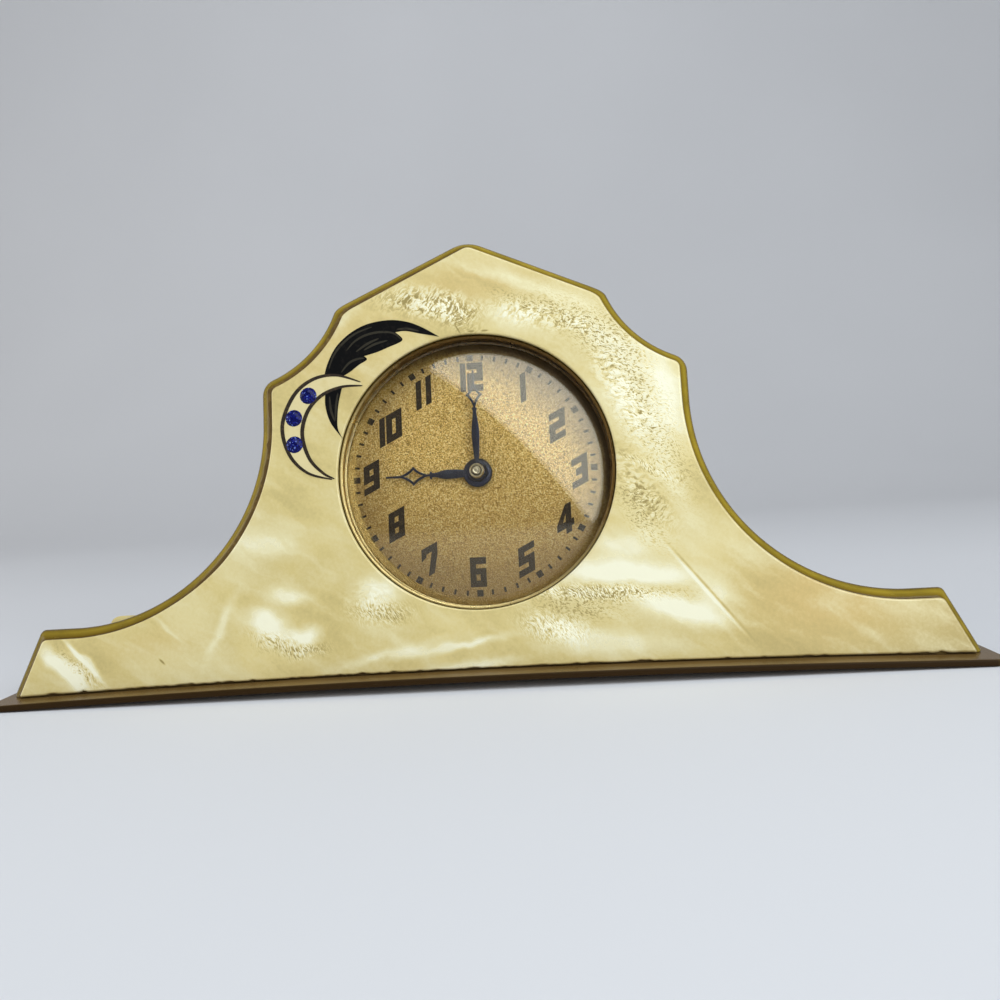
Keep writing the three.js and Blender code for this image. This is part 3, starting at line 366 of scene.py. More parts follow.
def turned(tree, coords, turn, size, centre=(0, 0)):  # coordinates along a patch, in shares of its size
    return node(tree, "ShaderNodeMapping", {
        "Vector": coords, "Location": (centre[0], 0, centre[1]), "Rotation": (0, -radians(turn), 0),
        "Scale": size}, vector_type="TEXTURE").outputs[0]


def noiseNode(tree, coords, scale, detail=3, roughness=0.5, distortion=0):
    return node(tree, "ShaderNodeTexNoise", {
        "Vector": coords, "Scale": scale, "Detail": detail, "Roughness": roughness,
        "Distortion": distortion})


def noiseField(tree, coords, scale, **settings):
    return noiseNode(tree, coords, scale, **settings).outputs["Fac"]


def shaken(tree, coords, scale, reach, detail):  # coordinates shaken by noise, up to about reach
    colours = noiseNode(tree, coords, scale, detail=detail).outputs["Color"]
    shake = vectorMath(tree, "SUBTRACT", colours, (0.5,) * 3)
    return vectorMath(tree, "ADD", coords, vectorMath(tree, "MULTIPLY", shake, (2 * reach,) * 3))


def ramp(tree, factor, stops):  # stops are (place, colour) pairs
    made = node(tree, "ShaderNodeValToRGB", {"Fac": factor})
    while len(made.color_ramp.elements) < len(stops):
        made.color_ramp.elements.new(0.5)
    for element, (place, colour) in zip(made.color_ramp.elements, stops):
        element.position = place
        element.color = (*colour, 1)
    return made.outputs["Color"]


def level(tree, factor, low, high, toLow=0.0, toHigh=1.0):
    return node(tree, "ShaderNodeMapRange", {
        "Value": factor, "From Min": low, "From Max": high, "To Min": toLow, "To Max": toHigh},
        clamp=True).outputs[0]


def weave(tree, coords, turn, cell, span, gain, **settings):  # noise drawn out along one direction
    field = noiseField(tree, turned(tree, coords, turn, cell), 1, **settings)
    return level(tree, field, *span, *gain)


def total(tree, fields):
    result = fields[0]
    for field in fields[1:]:
        result = combine(tree, "ADD", result, field)
    return result


def slanted(tree, coords, run):  # shares of the opening's radius along a direction on the face
    return vectorMath(tree, "DOT_PRODUCT", coords, (run[0] / opening, 0, run[1] / opening), output="Value")


def mixColours(tree, factor, a, b):
    made = node(tree, "ShaderNodeMix", data_type="RGBA")
    for place, value in ((0, factor), (6, a), (7, b)):  # the colour mix's own sockets
        if isinstance(value, bpy.types.NodeSocket):
            tree.links.new(value, made.inputs[place])
        else:
            made.inputs[place].default_value = value if place == 0 else (*value, 1)
    return made.outputs[2]


def addBump(tree, shader, height, strength, distance):
    bump = node(tree, "ShaderNodeBump", {
        "Height": height, "Strength": strength, "Distance": distance * mm})
    tree.links.new(bump.outputs["Normal"], shader.inputs["Normal"])


def feed(tree, shader, links):
    for socket, source in links.items():
        tree.links.new(source, shader.inputs[socket])


# finishes

pearlLook = {
    "shade": (0.600, 0.482, 0.190),
    "body": (0.705, 0.582, 0.252),
    "light": (0.780, 0.698, 0.400),
    "shine": (0.915, 0.880, 0.650),
    "hollow": (0.325, 0.250, 0.080),
    "warm": (0.600, 0.430, 0.155),
    # painted shade: the pearl darkened towards its right end
    "rightShade": (0.435, 0.328, 0.114),
    "rightShadeSpan": (40, 84),  # millimetres right of the dial
    "rightShadeShare": 0.8,
    "hollowSpan": (-0.6, 0),  # brightness over which each tone comes in
    "lightSpan": (0, 0.5),
    "shineSpan": (0.45, 1.05),
    "roughness": (0.36, 0.22),
    "bump": (0.35, 0.06),
    "loose": {"scale": 0.22, "reach": 1.2, "detail": 2},
    "ragged": {"scale": 1.2, "reach": 0.4, "detail": 3},
    "drift": {"scale": 0.05, "detail": 3, "distortion": 0.8},
    "driftSpan": (0.3, 0.7),
    "grain": {"scale": 1.3, "detail": 4, "roughness": 0.7},
    "grainSpan": (0.25, 0.75),
    "grainDepth": 0.10,
    "veil": {"turn": -35, "cell": (9, 9, 2.2), "span": (0.48, 0.75), "gain": (0, 0.22), "detail": 4},
    "bands": {"turn": -24, "cell": (24, 9, 8), "span": (0.35, 0.65), "gain": (-0.14, 0.2), "detail": 2},
    "weaves": {  # what fills the patches of the same name
        "fringes": {"turn": -62, "cell": (0.8, 1, 0.2), "span": (0.39, 0.61), "gain": (-0.8, 0.7),
                    "detail": 3, "roughness": 0.6},
        "crinkles": {"turn": -22, "cell": (0.60, 1, 0.26), "span": (0.36, 0.51), "gain": (-1.5, 0.14),
                     "detail": 3, "roughness": 0.6},
        "foils": {"turn": 48, "cell": (1.1, 1, 0.5), "span": (0.4, 0.58), "gain": (-0.9, 0.7),
                  "detail": 3, "distortion": 0.6},
        "swells": {"turn": -10, "cell": (1.5, 1, 0.62), "span": (0.38, 0.62), "gain": (-0.45, 0.5),
                   "detail": 2},
    },
    "glowReach": 1.55,  # a glow fades well beyond its core
    "glowCore": 0.62,
    "glowDepth": 60,
    "warmPatches": [  # every patch is x, y, half length, half width, turn in degrees, strength
        (62, -26, 20, 11, 0, 0.80),
        (0, 35, 14, 6, 0, 0.45),
        (-22, 24, 16, 14, 0, 0.35),
        (-60, -29, 12, 4, 0, 0.30),
    ],
    "softPatches": [
        (-77.4, -32.2, 6.6, 1.5, -45, 1.50),
        (-74.8, -33.0, 4.6, 2.0, -45, 0.85),
        (-73.0, -31.0, 5.4, 0.8, -47, 0.80),
        (-39.3, -12.0, 7.5, 3.6, -3, 0.45),
        (-35.6, -21.3, 4.6, 1.9, -8, 0.80),
        (-47.5, -26.2, 8.2, 1.0, 66, 0.40),
        (-57.7, -25.9, 4.5, 0.5, -41, 0.35),
        (-39.0, -26.0, 4.8, 3.0, -30, 1.20),
        (-32.6, -28.6, 3.6, 2.0, 12, 1.15),
        (-19.0, -21.6, 4.6, 3.4, 4, 0.90),
        (-16.2, -32.6, 12.5, 1.1, 12, 0.55),
        (-3.0, -35.3, 11.0, 1.0, 5, 0.60),
        (-4.3, -31.7, 10.5, 0.9, 9, 0.85),
        (25.6, -15.7, 7.7, 3.6, -3, 0.60),
        (25.2, -20.2, 15.5, 2.4, -5, 1.40),
        (34.6, -27.0, 11.2, 2.4, -17, 1.25),
        (14.0, -29.6, 6.5, 2.4, -14, 0.60),
        (41.0, -25.0, 4.0, 4.0, 0, 0.55),
        (12.0, -22.4, 6.0, 2.2, -20, 0.40),
        (22.0, -32.6, 14.0, 2.6, -3, 0.55),
        (35.6, 13.0, 10.5, 3.2, -81, 0.62),
        (30.8, 14.0, 16.0, 7.0, -62, 0.44),
        (27.8, 9.0, 13.0, 3.6, -70, 0.35),
        (24.5, 24.5, 12.0, 4.0, -42, 0.35),
        (35.0, -3.0, 10.0, 3.0, -68, 0.45),
        (10.2, 34.6, 15.0, 1.5, -21, 0.45),
        (-7.0, 34.2, 7.0, 2.2, -12, 0.20),
        (9.0, 28.6, 8.0, 3.0, -10, 0.50),
        (-24.0, 30.0, 8.0, 1.6, 38, 0.35),
    ],
    "fringes": [  # hair-like strokes under the bright cores
        (-37.6, -29.6, 5.4, 2.0, -22, 1.00),
        (-32.0, -31.2, 4.6, 1.6, 5, 0.90),
        (-18.4, -25.0, 6.0, 2.6, -6, 1.00),
        (-72.6, -33.4, 4.4, 1.6, -47, 0.80),
        (20.0, -23.4, 13.0, 1.5, -4, 1.50),
        (13.0, -29.4, 7.0, 2.8, -14, 1.20),
        (31.5, -1.4, 7.0, 1.2, -28, 0.80),
        (-4.0, 30.6, 7.0, 2.4, -8, 0.80),
    ],
    "crinkles": [
        (-75.2, -32.4, 4.8, 1.5, -45, 1.00),
        (17.0, -26.0, 9.0, 2.6, -8, 0.60),
        (24.0, -23.8, 14.0, 1.8, -4, 0.90),
        (29.9, -11.6, 7.2, 3.0, -57, 0.60),
        (28.9, -6.5, 4.2, 2.3, -35, 0.50),
        (31.0, 10.0, 18.0, 5.2, -70, 0.95),
        (23.0, 24.0, 12.0, 4.0, -42, 0.90),
        (12.0, 30.0, 9.0, 2.2, -22, 0.60),
    ],
    "swells": [  # soft ripples beside the opening
        (27.6, 12.5, 13.0, 3.4, -65, 1.30),
        (29.0, -4.0, 9.0, 3.4, -60, 0.80),
        (14.0, 27.6, 8.0, 2.4, -24, 0.60),
        (-20.0, -22.0, 5.0, 3.0, 10, 0.50),
    ],
    "foils": [  # coarser creases along the top
        (-9.0, 32.2, 9.0, 3.0, -10, 1.00),
        (-2.5, 29.6, 5.0, 3.2, -40, 0.80),
        (11.0, 28.6, 8.0, 2.4, -14, 0.70),
        (20.0, 26.0, 6.0, 2.0, -30, 0.70),
        (31.0, -8.0, 7.0, 2.4, -50, 0.60),
    ],
    "scratches": [
        (-73.3, -31.2, 5.6, 0.42, -47, 1.20),
        (39.4, -23.5, 10.5, 0.4, -52, 0.80),
        (39.8, -23.2, 10.5, 0.35, -52, -0.80),
        (-58.6, -32.0, 0.8, 0.22, -45, -1.20),
        (-2.2, 26.5, 1.0, 0.16, -62, -1.20),
        (0.3, 25.95, 0.7, 0.2, 0, -1.10),
        (2.8, 25.9, 0.7, 0.2, 0, -1.10),
    ],
}


def patchGlow(tree, coords, patch):  # bright in the middle with a long soft fade
    x, y, long, wide, turn, strength = patch
    reach = pearlLook["glowReach"]
    local = turned(tree, coords, turn, (long * reach, pearlLook["glowDepth"], wide * reach), (x, y))
    ball = node(tree, "ShaderNodeTexGradient", {"Vector": local}, gradient_type="QUADRATIC_SPHERE")
    return level(tree, ball.outputs["Fac"], 0, pearlLook["glowCore"], 0, strength)


def patchSum(tree, coords, name):
    return total(tree, [patchGlow(tree, coords, patch) for patch in pearlLook[name]])


def patchWeave(tree, name, places, threads):  # a weave kept to its patches
    fill = weave(tree, threads, **pearlLook["weaves"][name])
    return combine(tree, "MULTIPLY", patchSum(tree, places, name), fill)


def pearlMaterial():
    look = pearlLook
    material, tree, shader = startMaterial("pearlSheet", {
        "Metallic": 0.1, "Coat Weight": 0.4, "Coat Roughness": 0.1, "Specular IOR Level": 0.4})
    coords = panelCoords(tree)
    loose = shaken(tree, coords, **look["loose"])
    ragged = shaken(tree, loose, **look["ragged"])
    drift = level(tree, noiseField(tree, coords, **look["drift"]), *look["driftSpan"])
    depth = look["grainDepth"]
    grain = level(tree, noiseField(tree, coords, **look["grain"]), *look["grainSpan"], -depth, depth)
    relief = total(tree, [
        patchWeave(tree, "fringes", loose, loose),
        patchWeave(tree, "crinkles", ragged, ragged),
        patchWeave(tree, "foils", loose, ragged),
        patchWeave(tree, "swells", loose, ragged),
    ])
    bright = total(tree, [
        patchSum(tree, loose, "softPatches"),
        relief,
        patchSum(tree, coords, "scratches"),
        weave(tree, loose, **look["veil"]),
        weave(tree, loose, **look["bands"]),
        grain,
    ])
    plain = mixColours(tree, drift, look["shade"], look["body"])
    across = node(tree, "ShaderNodeSeparateXYZ", {0: loose}).outputs["X"]
    # painted shade, darker towards the right end
    rightShade = level(tree, across, *look["rightShadeSpan"], 0, look["rightShadeShare"])
    plain = mixColours(tree, rightShade, plain, look["rightShade"])
    plain = mixColours(tree, patchSum(tree, loose, "warmPatches"), plain, look["warm"])
    sunk = mixColours(tree, level(tree, bright, *look["hollowSpan"], 1, 0), plain, look["hollow"])
    lit = mixColours(tree, level(tree, bright, *look["lightSpan"]), sunk, look["light"])
    colour = mixColours(tree, level(tree, bright, *look["shineSpan"]), lit, look["shine"])
    feed(tree, shader, {"Base Color": colour, "Roughness": level(tree, bright, 0, 1, *look["roughness"])})
    addBump(tree, shader, relief, *look["bump"])
    return material


amberLook = {
    "edgeToneAndHighlight": [  # colours across the edge, from its front to its back: darker by the cement, with a painted highlight line
        (0.0, (0.10, 0.050, 0.004)), (0.11, (0.33, 0.215, 0.012)), (0.28, (0.52, 0.370, 0.030)),
        (0.44, (0.38, 0.260, 0.020)), (0.55, (0.16, 0.095, 0.008)), (0.75, (0.24, 0.165, 0.012)),
        (1.0, (0.33, 0.235, 0.018))],
    # painted shade over the left end
    "leftShadeSpan": (-84, -40),  # millimetres right of the dial
    "leftShadeShare": 0.4,
    "leftShade": (0.17, 0.100, 0.006),
    "cloud": {"scale": 0.16, "detail": 4, "distortion": 0.6},
    "cloudSpan": (0.35, 0.7),
    "cloudTone": (0.16, 0.105, 0.008),
    "streakCell": (6, 0.5, 2),
    "streakSpan": (0.3, 0.7),
    "roughness": (0.16, 0.28),
    "bump": (0.08, 0.1),
}


def amberMaterial():  # darker where it meets the cement and at its turned outer edge, with a painted highlight line along the edge and painted shade over its left end
    look = amberLook
    material, tree, shader = startMaterial("amberSheet", {
        "IOR": 1.5, "Transmission Weight": 0.35, "Specular IOR Level": 0.15})
    coords = panelCoords(tree)
    along = node(tree, "ShaderNodeSeparateXYZ", {0: coords}).outputs
    edgeToneAndHighlight = ramp(tree, level(tree, along["Y"], stack["panelFront"], stack["panelBack"]), look["edgeToneAndHighlight"])
    # painted shade over the left end
    left = level(tree, along["X"], *look["leftShadeSpan"], look["leftShadeShare"], 0)
    edgeToneAndHighlight = mixColours(tree, left, edgeToneAndHighlight, look["leftShade"])
    cloud = level(tree, noiseField(tree, coords, **look["cloud"]), *look["cloudSpan"])
    streak = noiseField(tree, turned(tree, coords, 0, look["streakCell"]), 1)
    colour = mixColours(tree, combine(tree, "MULTIPLY", cloud, streak), edgeToneAndHighlight, look["cloudTone"])
    feed(tree, shader, {
        "Base Color": colour, "Roughness": level(tree, streak, *look["streakSpan"], *look["roughness"])})
    addBump(tree, shader, streak, *look["bump"])
    return material


baseLook = {
    "top": (0.185, 0.112, 0.036),
    "cloudTone": (0.135, 0.078, 0.021),
    "cloud": {"scale": 0.07, "detail": 4},
    "cloudSpan": (0.35, 0.7),
    # painted shade: the front edge darkened
    "front": (0.029, 0.013, 0.001),
    "frontShadeSpan": (-24.95, -24.5),  # millimetres back from the base's middle
    "roughness": (0.24, 0.5),
    "bump": (0.06, 0.1),
}


def baseMaterial():  # amber sheet seen flat on, its front edge darkened with painted shade
    look = baseLook
    material, tree, shader = startMaterial("amberBase", {
        "IOR": 1.5, "Transmission Weight": 0.15, "Specular IOR Level": 0.05})
    cloud = level(tree, noiseField(tree, panelCoords(tree), **look["cloud"]), *look["cloudSpan"])
    top = mixColours(tree, cloud, look["top"], look["cloudTone"])
    place = node(tree, "ShaderNodeTexCoord").outputs["Object"]
    depth = node(tree, "ShaderNodeSeparateXYZ", {0: place}).outputs["Y"]
    # painted shade along the front edge
    front = level(tree, depth, *[edge * mm for edge in look["frontShadeSpan"]], 1, 0)
    colour = mixColours(tree, front, top, look["front"])
    feed(tree, shader, {"Base Color": colour, "Roughness": level(tree, front, 0, 1, *look["roughness"])})
    addBump(tree, shader, cloud, *look["bump"])
    return material


metalLook = {
    "blotch": {"scale": 0.22, "detail": 5, "roughness": 0.65},
    "blotchSpan": (0.42, 0.72),
    "tarnishShare": 0.7,
    "grain": (0.7, 0.7, 0.7),
    "lines": {"scale": 3, "detail": 2},
    "roughSpan": (0.3, 1.5),
    "roughRise": 0.25,
    "bump": (0.12, 0.04),
}


def metalMaterial(name, colour, tarnish, roughness, grain=metalLook["grain"]):
    look = metalLook
    material, tree, shader = startMaterial(name, {"Metallic": 1.0})
    coords = panelCoords(tree)
    blotch = level(tree, noiseField(tree, coords, **look["blotch"]), *look["blotchSpan"])
    lines = noiseField(tree, turned(tree, coords, 0, grain), **look["lines"])
    shade = mixColours(tree, combine(tree, "MULTIPLY", blotch, look["tarnishShare"]), colour, tarnish)
    rough = level(tree, combine(tree, "ADD", blotch, lines), *look["roughSpan"],
                  roughness, roughness + look["roughRise"])
    feed(tree, shader, {"Base Color": shade, "Roughness": rough})
    addBump(tree, shader, lines, *look["bump"])
    return material


bezelLook = {
    # bright is a painted highlight low on the left, the brown a painted shade high on the right
    "bright": (0.80, 0.63, 0.27),
    "shadeBrown": (0.17, 0.10, 0.03),
    "slant": (0.60, 0.80),
    "shadeBrownSpan": (-0.5, 0.35),
    "blotch": {"scale": 0.3, "detail": 5, "roughness": 0.65},
    "blotchSpan": (0.3, 0.7),
    "blotchGain": (-0.2, 0.2),
    "roughness": (0.2, 0.42),
    "bump": (0.1, 0.05),
}


def bezelMaterial():  # brass with a painted highlight low on the left and painted shade high on the right
    look = bezelLook
    material, tree, shader = startMaterial("bezelBrass", {"Metallic": 1.0})
    coords = panelCoords(tree)
    blotch = noiseField(tree, coords, **look["blotch"])
    mottle = level(tree, blotch, *look["blotchSpan"], *look["blotchGain"])
    slant = combine(tree, "ADD", slanted(tree, coords, look["slant"]), mottle)
    # painted highlight and painted shade, set by direction across the face
    colour = mixColours(tree, level(tree, slant, *look["shadeBrownSpan"]), look["bright"], look["shadeBrown"])
    feed(tree, shader, {
        "Base Color": colour, "Roughness": level(tree, blotch, *look["blotchSpan"], *look["roughness"])})
    addBump(tree, shader, blotch, *look["bump"])
    return material


dialLook = {
    "stipple": {"scale": 3.3, "detail": 2, "roughness": 0.7},
    "stippleShare": 0.8,
    "pitScale": 4.4,
    "pitShare": 0.4,
    "gold": [
        (0.38, (0.200, 0.102, 0.011)), (0.52, (0.540, 0.308, 0.048)),
        (0.64, (0.840, 0.515, 0.106)), (0.76, (0.960, 0.760, 0.300))],
    # painted shade towards the rim, under the bezel, in patches: the next three set its patches, edge its colour
    "rimShadeMottle": {"scale": 0.2, "detail": 3},
    "rimShadeMottleSpan": (0.3, 0.7),
    "rimShadeMottleGain": (0.3, 0.75),
    "edge": (0.220, 0.130, 0.028),
    "rimShadeSpan": (16, 25),  # millimetres from the middle
    # painted shade: the dial darker towards the bottom
    "low": (0.270, 0.155, 0.036),
    "lowShadeSpan": (-18, 4),  # millimetres above the middle
    "lowShadeShare": 0.62,
    "slant": (0.70, 0.72),
    "shadow": (0.190, 0.145, 0.120),
    "shadowSpan": (0.5, 0.95),
    "shadowShare": 0.75,
    # painted shadow of the bezel on the dial's rim, high on the right
    "rimShadow": (0.045, 0.026, 0.006),
    "rimShadowReach": (22.6, 24.0),
    "rimShadowSpan": (0, 0.6),
    "rimShadowShare": 0.9,
    "roughSpan": (0.4, 0.8),
    "roughness": (0.55, 0.35),
    "bump": (1.0, 0.14),
}


def dialMaterial():
    look = dialLook
    material, tree, shader = startMaterial("giltDial", {"Metallic": 0.5})
    coords = panelCoords(tree)
    stipple = noiseField(tree, coords, **look["stipple"])
    cells = node(tree, "ShaderNodeTexVoronoi", {"Vector": coords, "Scale": look["pitScale"]})
    pits = cells.outputs["Distance"]
    speck = combine(tree, "ADD", combine(tree, "MULTIPLY", stipple, look["stippleShare"]),
                    combine(tree, "MULTIPLY", pits, look["pitShare"]))
    gold = ramp(tree, speck, look["gold"])
    reach = vectorMath(tree, "LENGTH", vectorMath(tree, "MULTIPLY", coords, (1, 0, 1)), output="Value")
    rimShadeMottle = level(tree, noiseField(tree, coords, **look["rimShadeMottle"]), *look["rimShadeMottleSpan"], *look["rimShadeMottleGain"])
    # painted shade towards the rim
    edge = combine(tree, "MULTIPLY", level(tree, reach, *look["rimShadeSpan"]), rimShadeMottle)
    toned = mixColours(tree, edge, gold, look["edge"])
    height = node(tree, "ShaderNodeSeparateXYZ", {0: coords}).outputs["Z"]
    # painted shade towards the bottom
    toned = mixColours(tree, level(tree, height, *look["lowShadeSpan"], look["lowShadeShare"], 0), toned, look["low"])
    slant = slanted(tree, coords, look["slant"])
    shadow = level(tree, slant, *look["shadowSpan"], 0, look["shadowShare"])
    toned = mixColours(tree, shadow, toned, look["shadow"])
    # painted shadow of the bezel on the rim
    rimShadow = combine(tree, "MULTIPLY", level(tree, reach, *look["rimShadowReach"]),
                    level(tree, slant, *look["rimShadowSpan"], 0, look["rimShadowShare"]))
    toned = mixColours(tree, rimShadow, toned, look["rimShadow"])
    feed(tree, shader, {
        "Base Color": toned, "Roughness": level(tree, speck, *look["roughSpan"], *look["roughness"])})
    addBump(tree, shader, speck, *look["bump"])
    return material


paintLook = {
    "gloss": 0.2,
    "wear": {"detail": 4, "roughness": 0.65},
    "wearSpan": (0.52, 0.74),
    "roughSpan": (0.3, 0.7),
    "roughRise": 0.2,
    "bump": (0.15, 0.03),
}


def paintMaterial(name, colour, worn, roughness, wearScale, gloss=paintLook["gloss"]):
    look = paintLook
    material, tree, shader = startMaterial(name, {"Specular IOR Level": gloss})
    wear = noiseField(tree, panelCoords(tree), wearScale, **look["wear"])
    shade = mixColours(tree, level(tree, wear, *look["wearSpan"]), colour, worn)
    rough = level(tree, wear, *look["roughSpan"], roughness, roughness + look["roughRise"])
    feed(tree, shader, {"Base Color": shade, "Roughness": rough})
    addBump(tree, shader, wear, *look["bump"])
    return material


stoneLook = {
    "paintedSparkScale": 4.4,
    # painted glints: a few random facets painted pale blue over the navy
    "tones": [
        (0.0, (0.002, 0.002, 0.030)), (0.7, (0.004, 0.006, 0.095)), (0.92, (0.010, 0.016, 0.22)),
        (1.0, (0.18, 0.27, 0.66))],
    "roughness": (0.05, 0.2),
}


def stoneMaterial():
    look = stoneLook
    material, tree, shader = startMaterial("blueStone", {"IOR": 1.5, "Specular IOR Level": 0.14})
    # painted glints, cell by cell
    paintedSparks = node(tree, "ShaderNodeTexVoronoi", {"Vector": panelCoords(tree), "Scale": look["paintedSparkScale"]})
    tone = node(tree, "ShaderNodeSeparateColor", {"Color": paintedSparks.outputs["Color"]}).outputs[0]
    feed(tree, shader, {
        "Base Color": ramp(tree, tone, look["tones"]),
        "Roughness": level(tree, tone, 0, 1, *look["roughness"])})
    return material


smears = {"turn": 40, "cell": (16, 5, 3), "span": (0.45, 0.75), "gain": (0.0, 0.04), "detail": 3}


def glassMaterial():  # faint smears roughen it here and there
    material, tree, shader = startMaterial("crystalGlass", {
        "Base Color": (1, 1, 1, 1), "IOR": 1.5, "Transmission Weight": 1.0,
        "Specular Tint": (1.0, 0.90, 0.70, 1)})
    feed(tree, shader, {"Roughness": weave(tree, panelCoords(tree), **smears)})
    return material


# metals take a name, their colour, their tarnish and a roughness; paints end in wear scale and gloss

pearl = pearlMaterial()
amber = amberMaterial()
baseAmber = baseMaterial()
bezelBrass = bezelMaterial()
brass = metalMaterial("agedBrass", (0.55, 0.39, 0.12), (0.27, 0.17, 0.045), 0.24)
trainBrass = metalMaterial("trainBrass", (0.66, 0.48, 0.17), (0.48, 0.32, 0.1), 0.28)
nickel = metalMaterial("dulledNickel", (0.52, 0.50, 0.46), (0.34, 0.31, 0.26), 0.28, (3, 3, 0.4))
wornBrass = metalMaterial("wornBrass", (0.62, 0.54, 0.34), (0.24, 0.19, 0.11), 0.34)
steel = metalMaterial("plainSteel", (0.42, 0.42, 0.43), (0.26, 0.24, 0.22), 0.3)
blued = metalMaterial("bluedSteel", (0.034, 0.039, 0.062), (0.085, 0.085, 0.080), 0.3)
gilt = dialMaterial()
ink = paintMaterial("numeralInk", (0.026, 0.014, 0.004), (0.085, 0.052, 0.018), 0.5, 2.4, 0.1)
cement = paintMaterial("cementLine", (0.10, 0.058, 0.014), (0.22, 0.14, 0.03), 0.5, 0.5)
groove = paintMaterial("groovePaint", (0.020, 0.013, 0.007), (0.080, 0.050, 0.018), 0.45, 1.6)
leafPaint = paintMaterial("leafPaint", (0.003, 0.003, 0.003), (0.012, 0.010, 0.008), 0.45, 0.8, 0.06)
# the leaf's engraved veins, painted grey that also stands for their highlights
leafVeinGreyAndSheen = paintMaterial("leafVeinGreyAndSheen", (0.030, 0.026, 0.017), (0.010, 0.009, 0.006), 0.45, 1.2, 0.1)
cream = paintMaterial("creamField", (0.66, 0.56, 0.29), (0.60, 0.49, 0.22), 0.3, 0.35)
sapphire = stoneMaterial()
glass = glassMaterial()
print("finishes made")

# panel outline, millimetres about the middle of the dial

outlineSize = {
    "footHalf": 85,
    "footHeight": -36.6,
    "shoulderHalf": 80.4,
    "shoulderHeight": -27.9,
    "sweepWide": 38.5,
    "sweepHeight": 11.2,  # where the sweep turns upright
    "earHalf": 37.6,
    "earHeight": 17.4,
    "earRound": 1.0,
    "coveRadius": 24.5,
    "eaveHalf": 23.7,
    "eaveHeight": 31.2,
    "eaveRound": 2.2,
    "cornerRound": 0.8,
    "peakHeight": 42.1,
    "sweepSteps": 56,
    "coveSteps": 28,
    "cornerSteps": 6,
    "footMargin": 2,
    "footStep": 0.8,
    "chips": [(0.7, 0.3), (0.2, 4)],  # scale and row of each noise along the foot
}
leftOutline = {**outlineSize, "shoulderHalf": 80.9, "shoulderHeight": -27.5}


def sideOutline(s, grow, foot):  # right half of the outline, from the foot up to the peak
    endRun = Vector((s["shoulderHalf"] - s["footHalf"], s["shoulderHeight"] - s["footHeight"]))
    endRun.normalize()

    def endAt(height):
        return (s["footHalf"] + (grow + (height - s["footHeight"]) * endRun.x) / endRun.y, height)

    wide, tall = s["sweepWide"] - grow, s["sweepHeight"] - s["shoulderHeight"] - grow
    sweepMiddle = s["earHalf"] + s["sweepWide"]
    turns = arc((0, 0), 1, -pi / 2, -pi, s["sweepSteps"])
    sweep = [(sweepMiddle + x * wide, s["sweepHeight"] + y * tall) for x, y in turns]
    earPoint = Vector((s["earHalf"], s["earHeight"]))
    eavePoint = Vector((s["eaveHalf"], s["eaveHeight"]))
    chord = eavePoint - earPoint
    outward = Vector((chord.y, -chord.x)).normalized()
    rise = sqrt(s["coveRadius"] ** 2 - chord.length_squared / 4)
    cove = (earPoint + eavePoint) / 2 + outward * rise
    coveGrown = s["coveRadius"] - grow
    earX = s["earHalf"] - s["earRound"]  # middle of the ear's rounding
    ear = Vector((earX, cove.y - sqrt((s["coveRadius"] + s["earRound"]) ** 2 - (cove.x - earX) ** 2)))
    facing = atan2(cove.y - ear.y, cove.x - ear.x)
    earCorner = arc(ear, s["earRound"] + grow, 0, facing, s["cornerSteps"])
    roofRun = Vector((s["eaveHalf"], s["eaveHeight"] - s["peakHeight"])).normalized()
    peak = Vector((0, s["peakHeight"] + grow / roofRun.x))
    toPeak = peak - cove
    along = toPeak.dot(roofRun)
    eave = peak + roofRun * (-along - sqrt(along ** 2 - toPeak.length_squared + coveGrown ** 2))
    end = -pi - atan2(eave.y - cove.y, cove.x - eave.x)
    soft, steps = s["cornerRound"], s["cornerSteps"]
    coveArc = arc(cove, coveGrown, facing - pi, end + s["eaveRound"] / coveGrown, s["coveSteps"])
    eaveCorner = softCorner(coveArc[-1], eave, peak, s["eaveRound"], steps)
    shoulder = softCorner(endAt(foot), endAt(s["shoulderHeight"] + grow), sweep[1], soft, steps)
    footCorner = softCorner((0, foot), endAt(foot), endAt(s["shoulderHeight"]), soft / 2, steps)
    peakCorner = softCorner(eave, peak, (-eave.x, eave.y), soft + max(grow, 0), 2 * steps)
    half = footCorner + shoulder + sweep[1:] + earCorner + coveArc[1:] + eaveCorner[1:]
    return half + peakCorner[:steps + 1]


def panelOutline(grow, foot, chips=0.0):  # the outline grown outward, anticlockwise from the right foot
    s = outlineSize
    right, left = sideOutline(s, grow, foot), sideOutline(leftOutline, grow, foot)
    outline = right + [(-x, y) for x, y in reversed(left[:-1])]
    reach = s["footHalf"] - s["footMargin"]
    count = int(2 * reach / s["footStep"])
    for i in range(count + 1):
        x = -reach + i * s["footStep"]
        chip = sum(noise.noise(Vector((x * scale, row, 0))) for scale, row in s["chips"])
        outline.append((x, foot + chips * max(0, chip)))
    return outline


def footAt(depth, gap):  # height where a leaning sheet meets the base plate's top
    return (gap + depth * sin(lean)) / cos(lean) - dialHeight


arch = {"rise": 0.8, "drop": 1.5, "half": 89.5, "foot": 2, "reach": 8}  # the warped base, millimetres


def archFoot(mesh):  # the base stands on its ends, and the panel's foot follows it
    for vertex in mesh.vertices:
        x, z = vertex.co.x / mm, vertex.co.z / mm
        share = min(max(1 - (z - arch["foot"]) / arch["reach"], 0), 1)
        vertex.co.z += share * (arch["rise"] - arch["drop"] * (x / arch["half"]) ** 2) * mm


# pearl facing, the amber panel behind it, and the cement between them

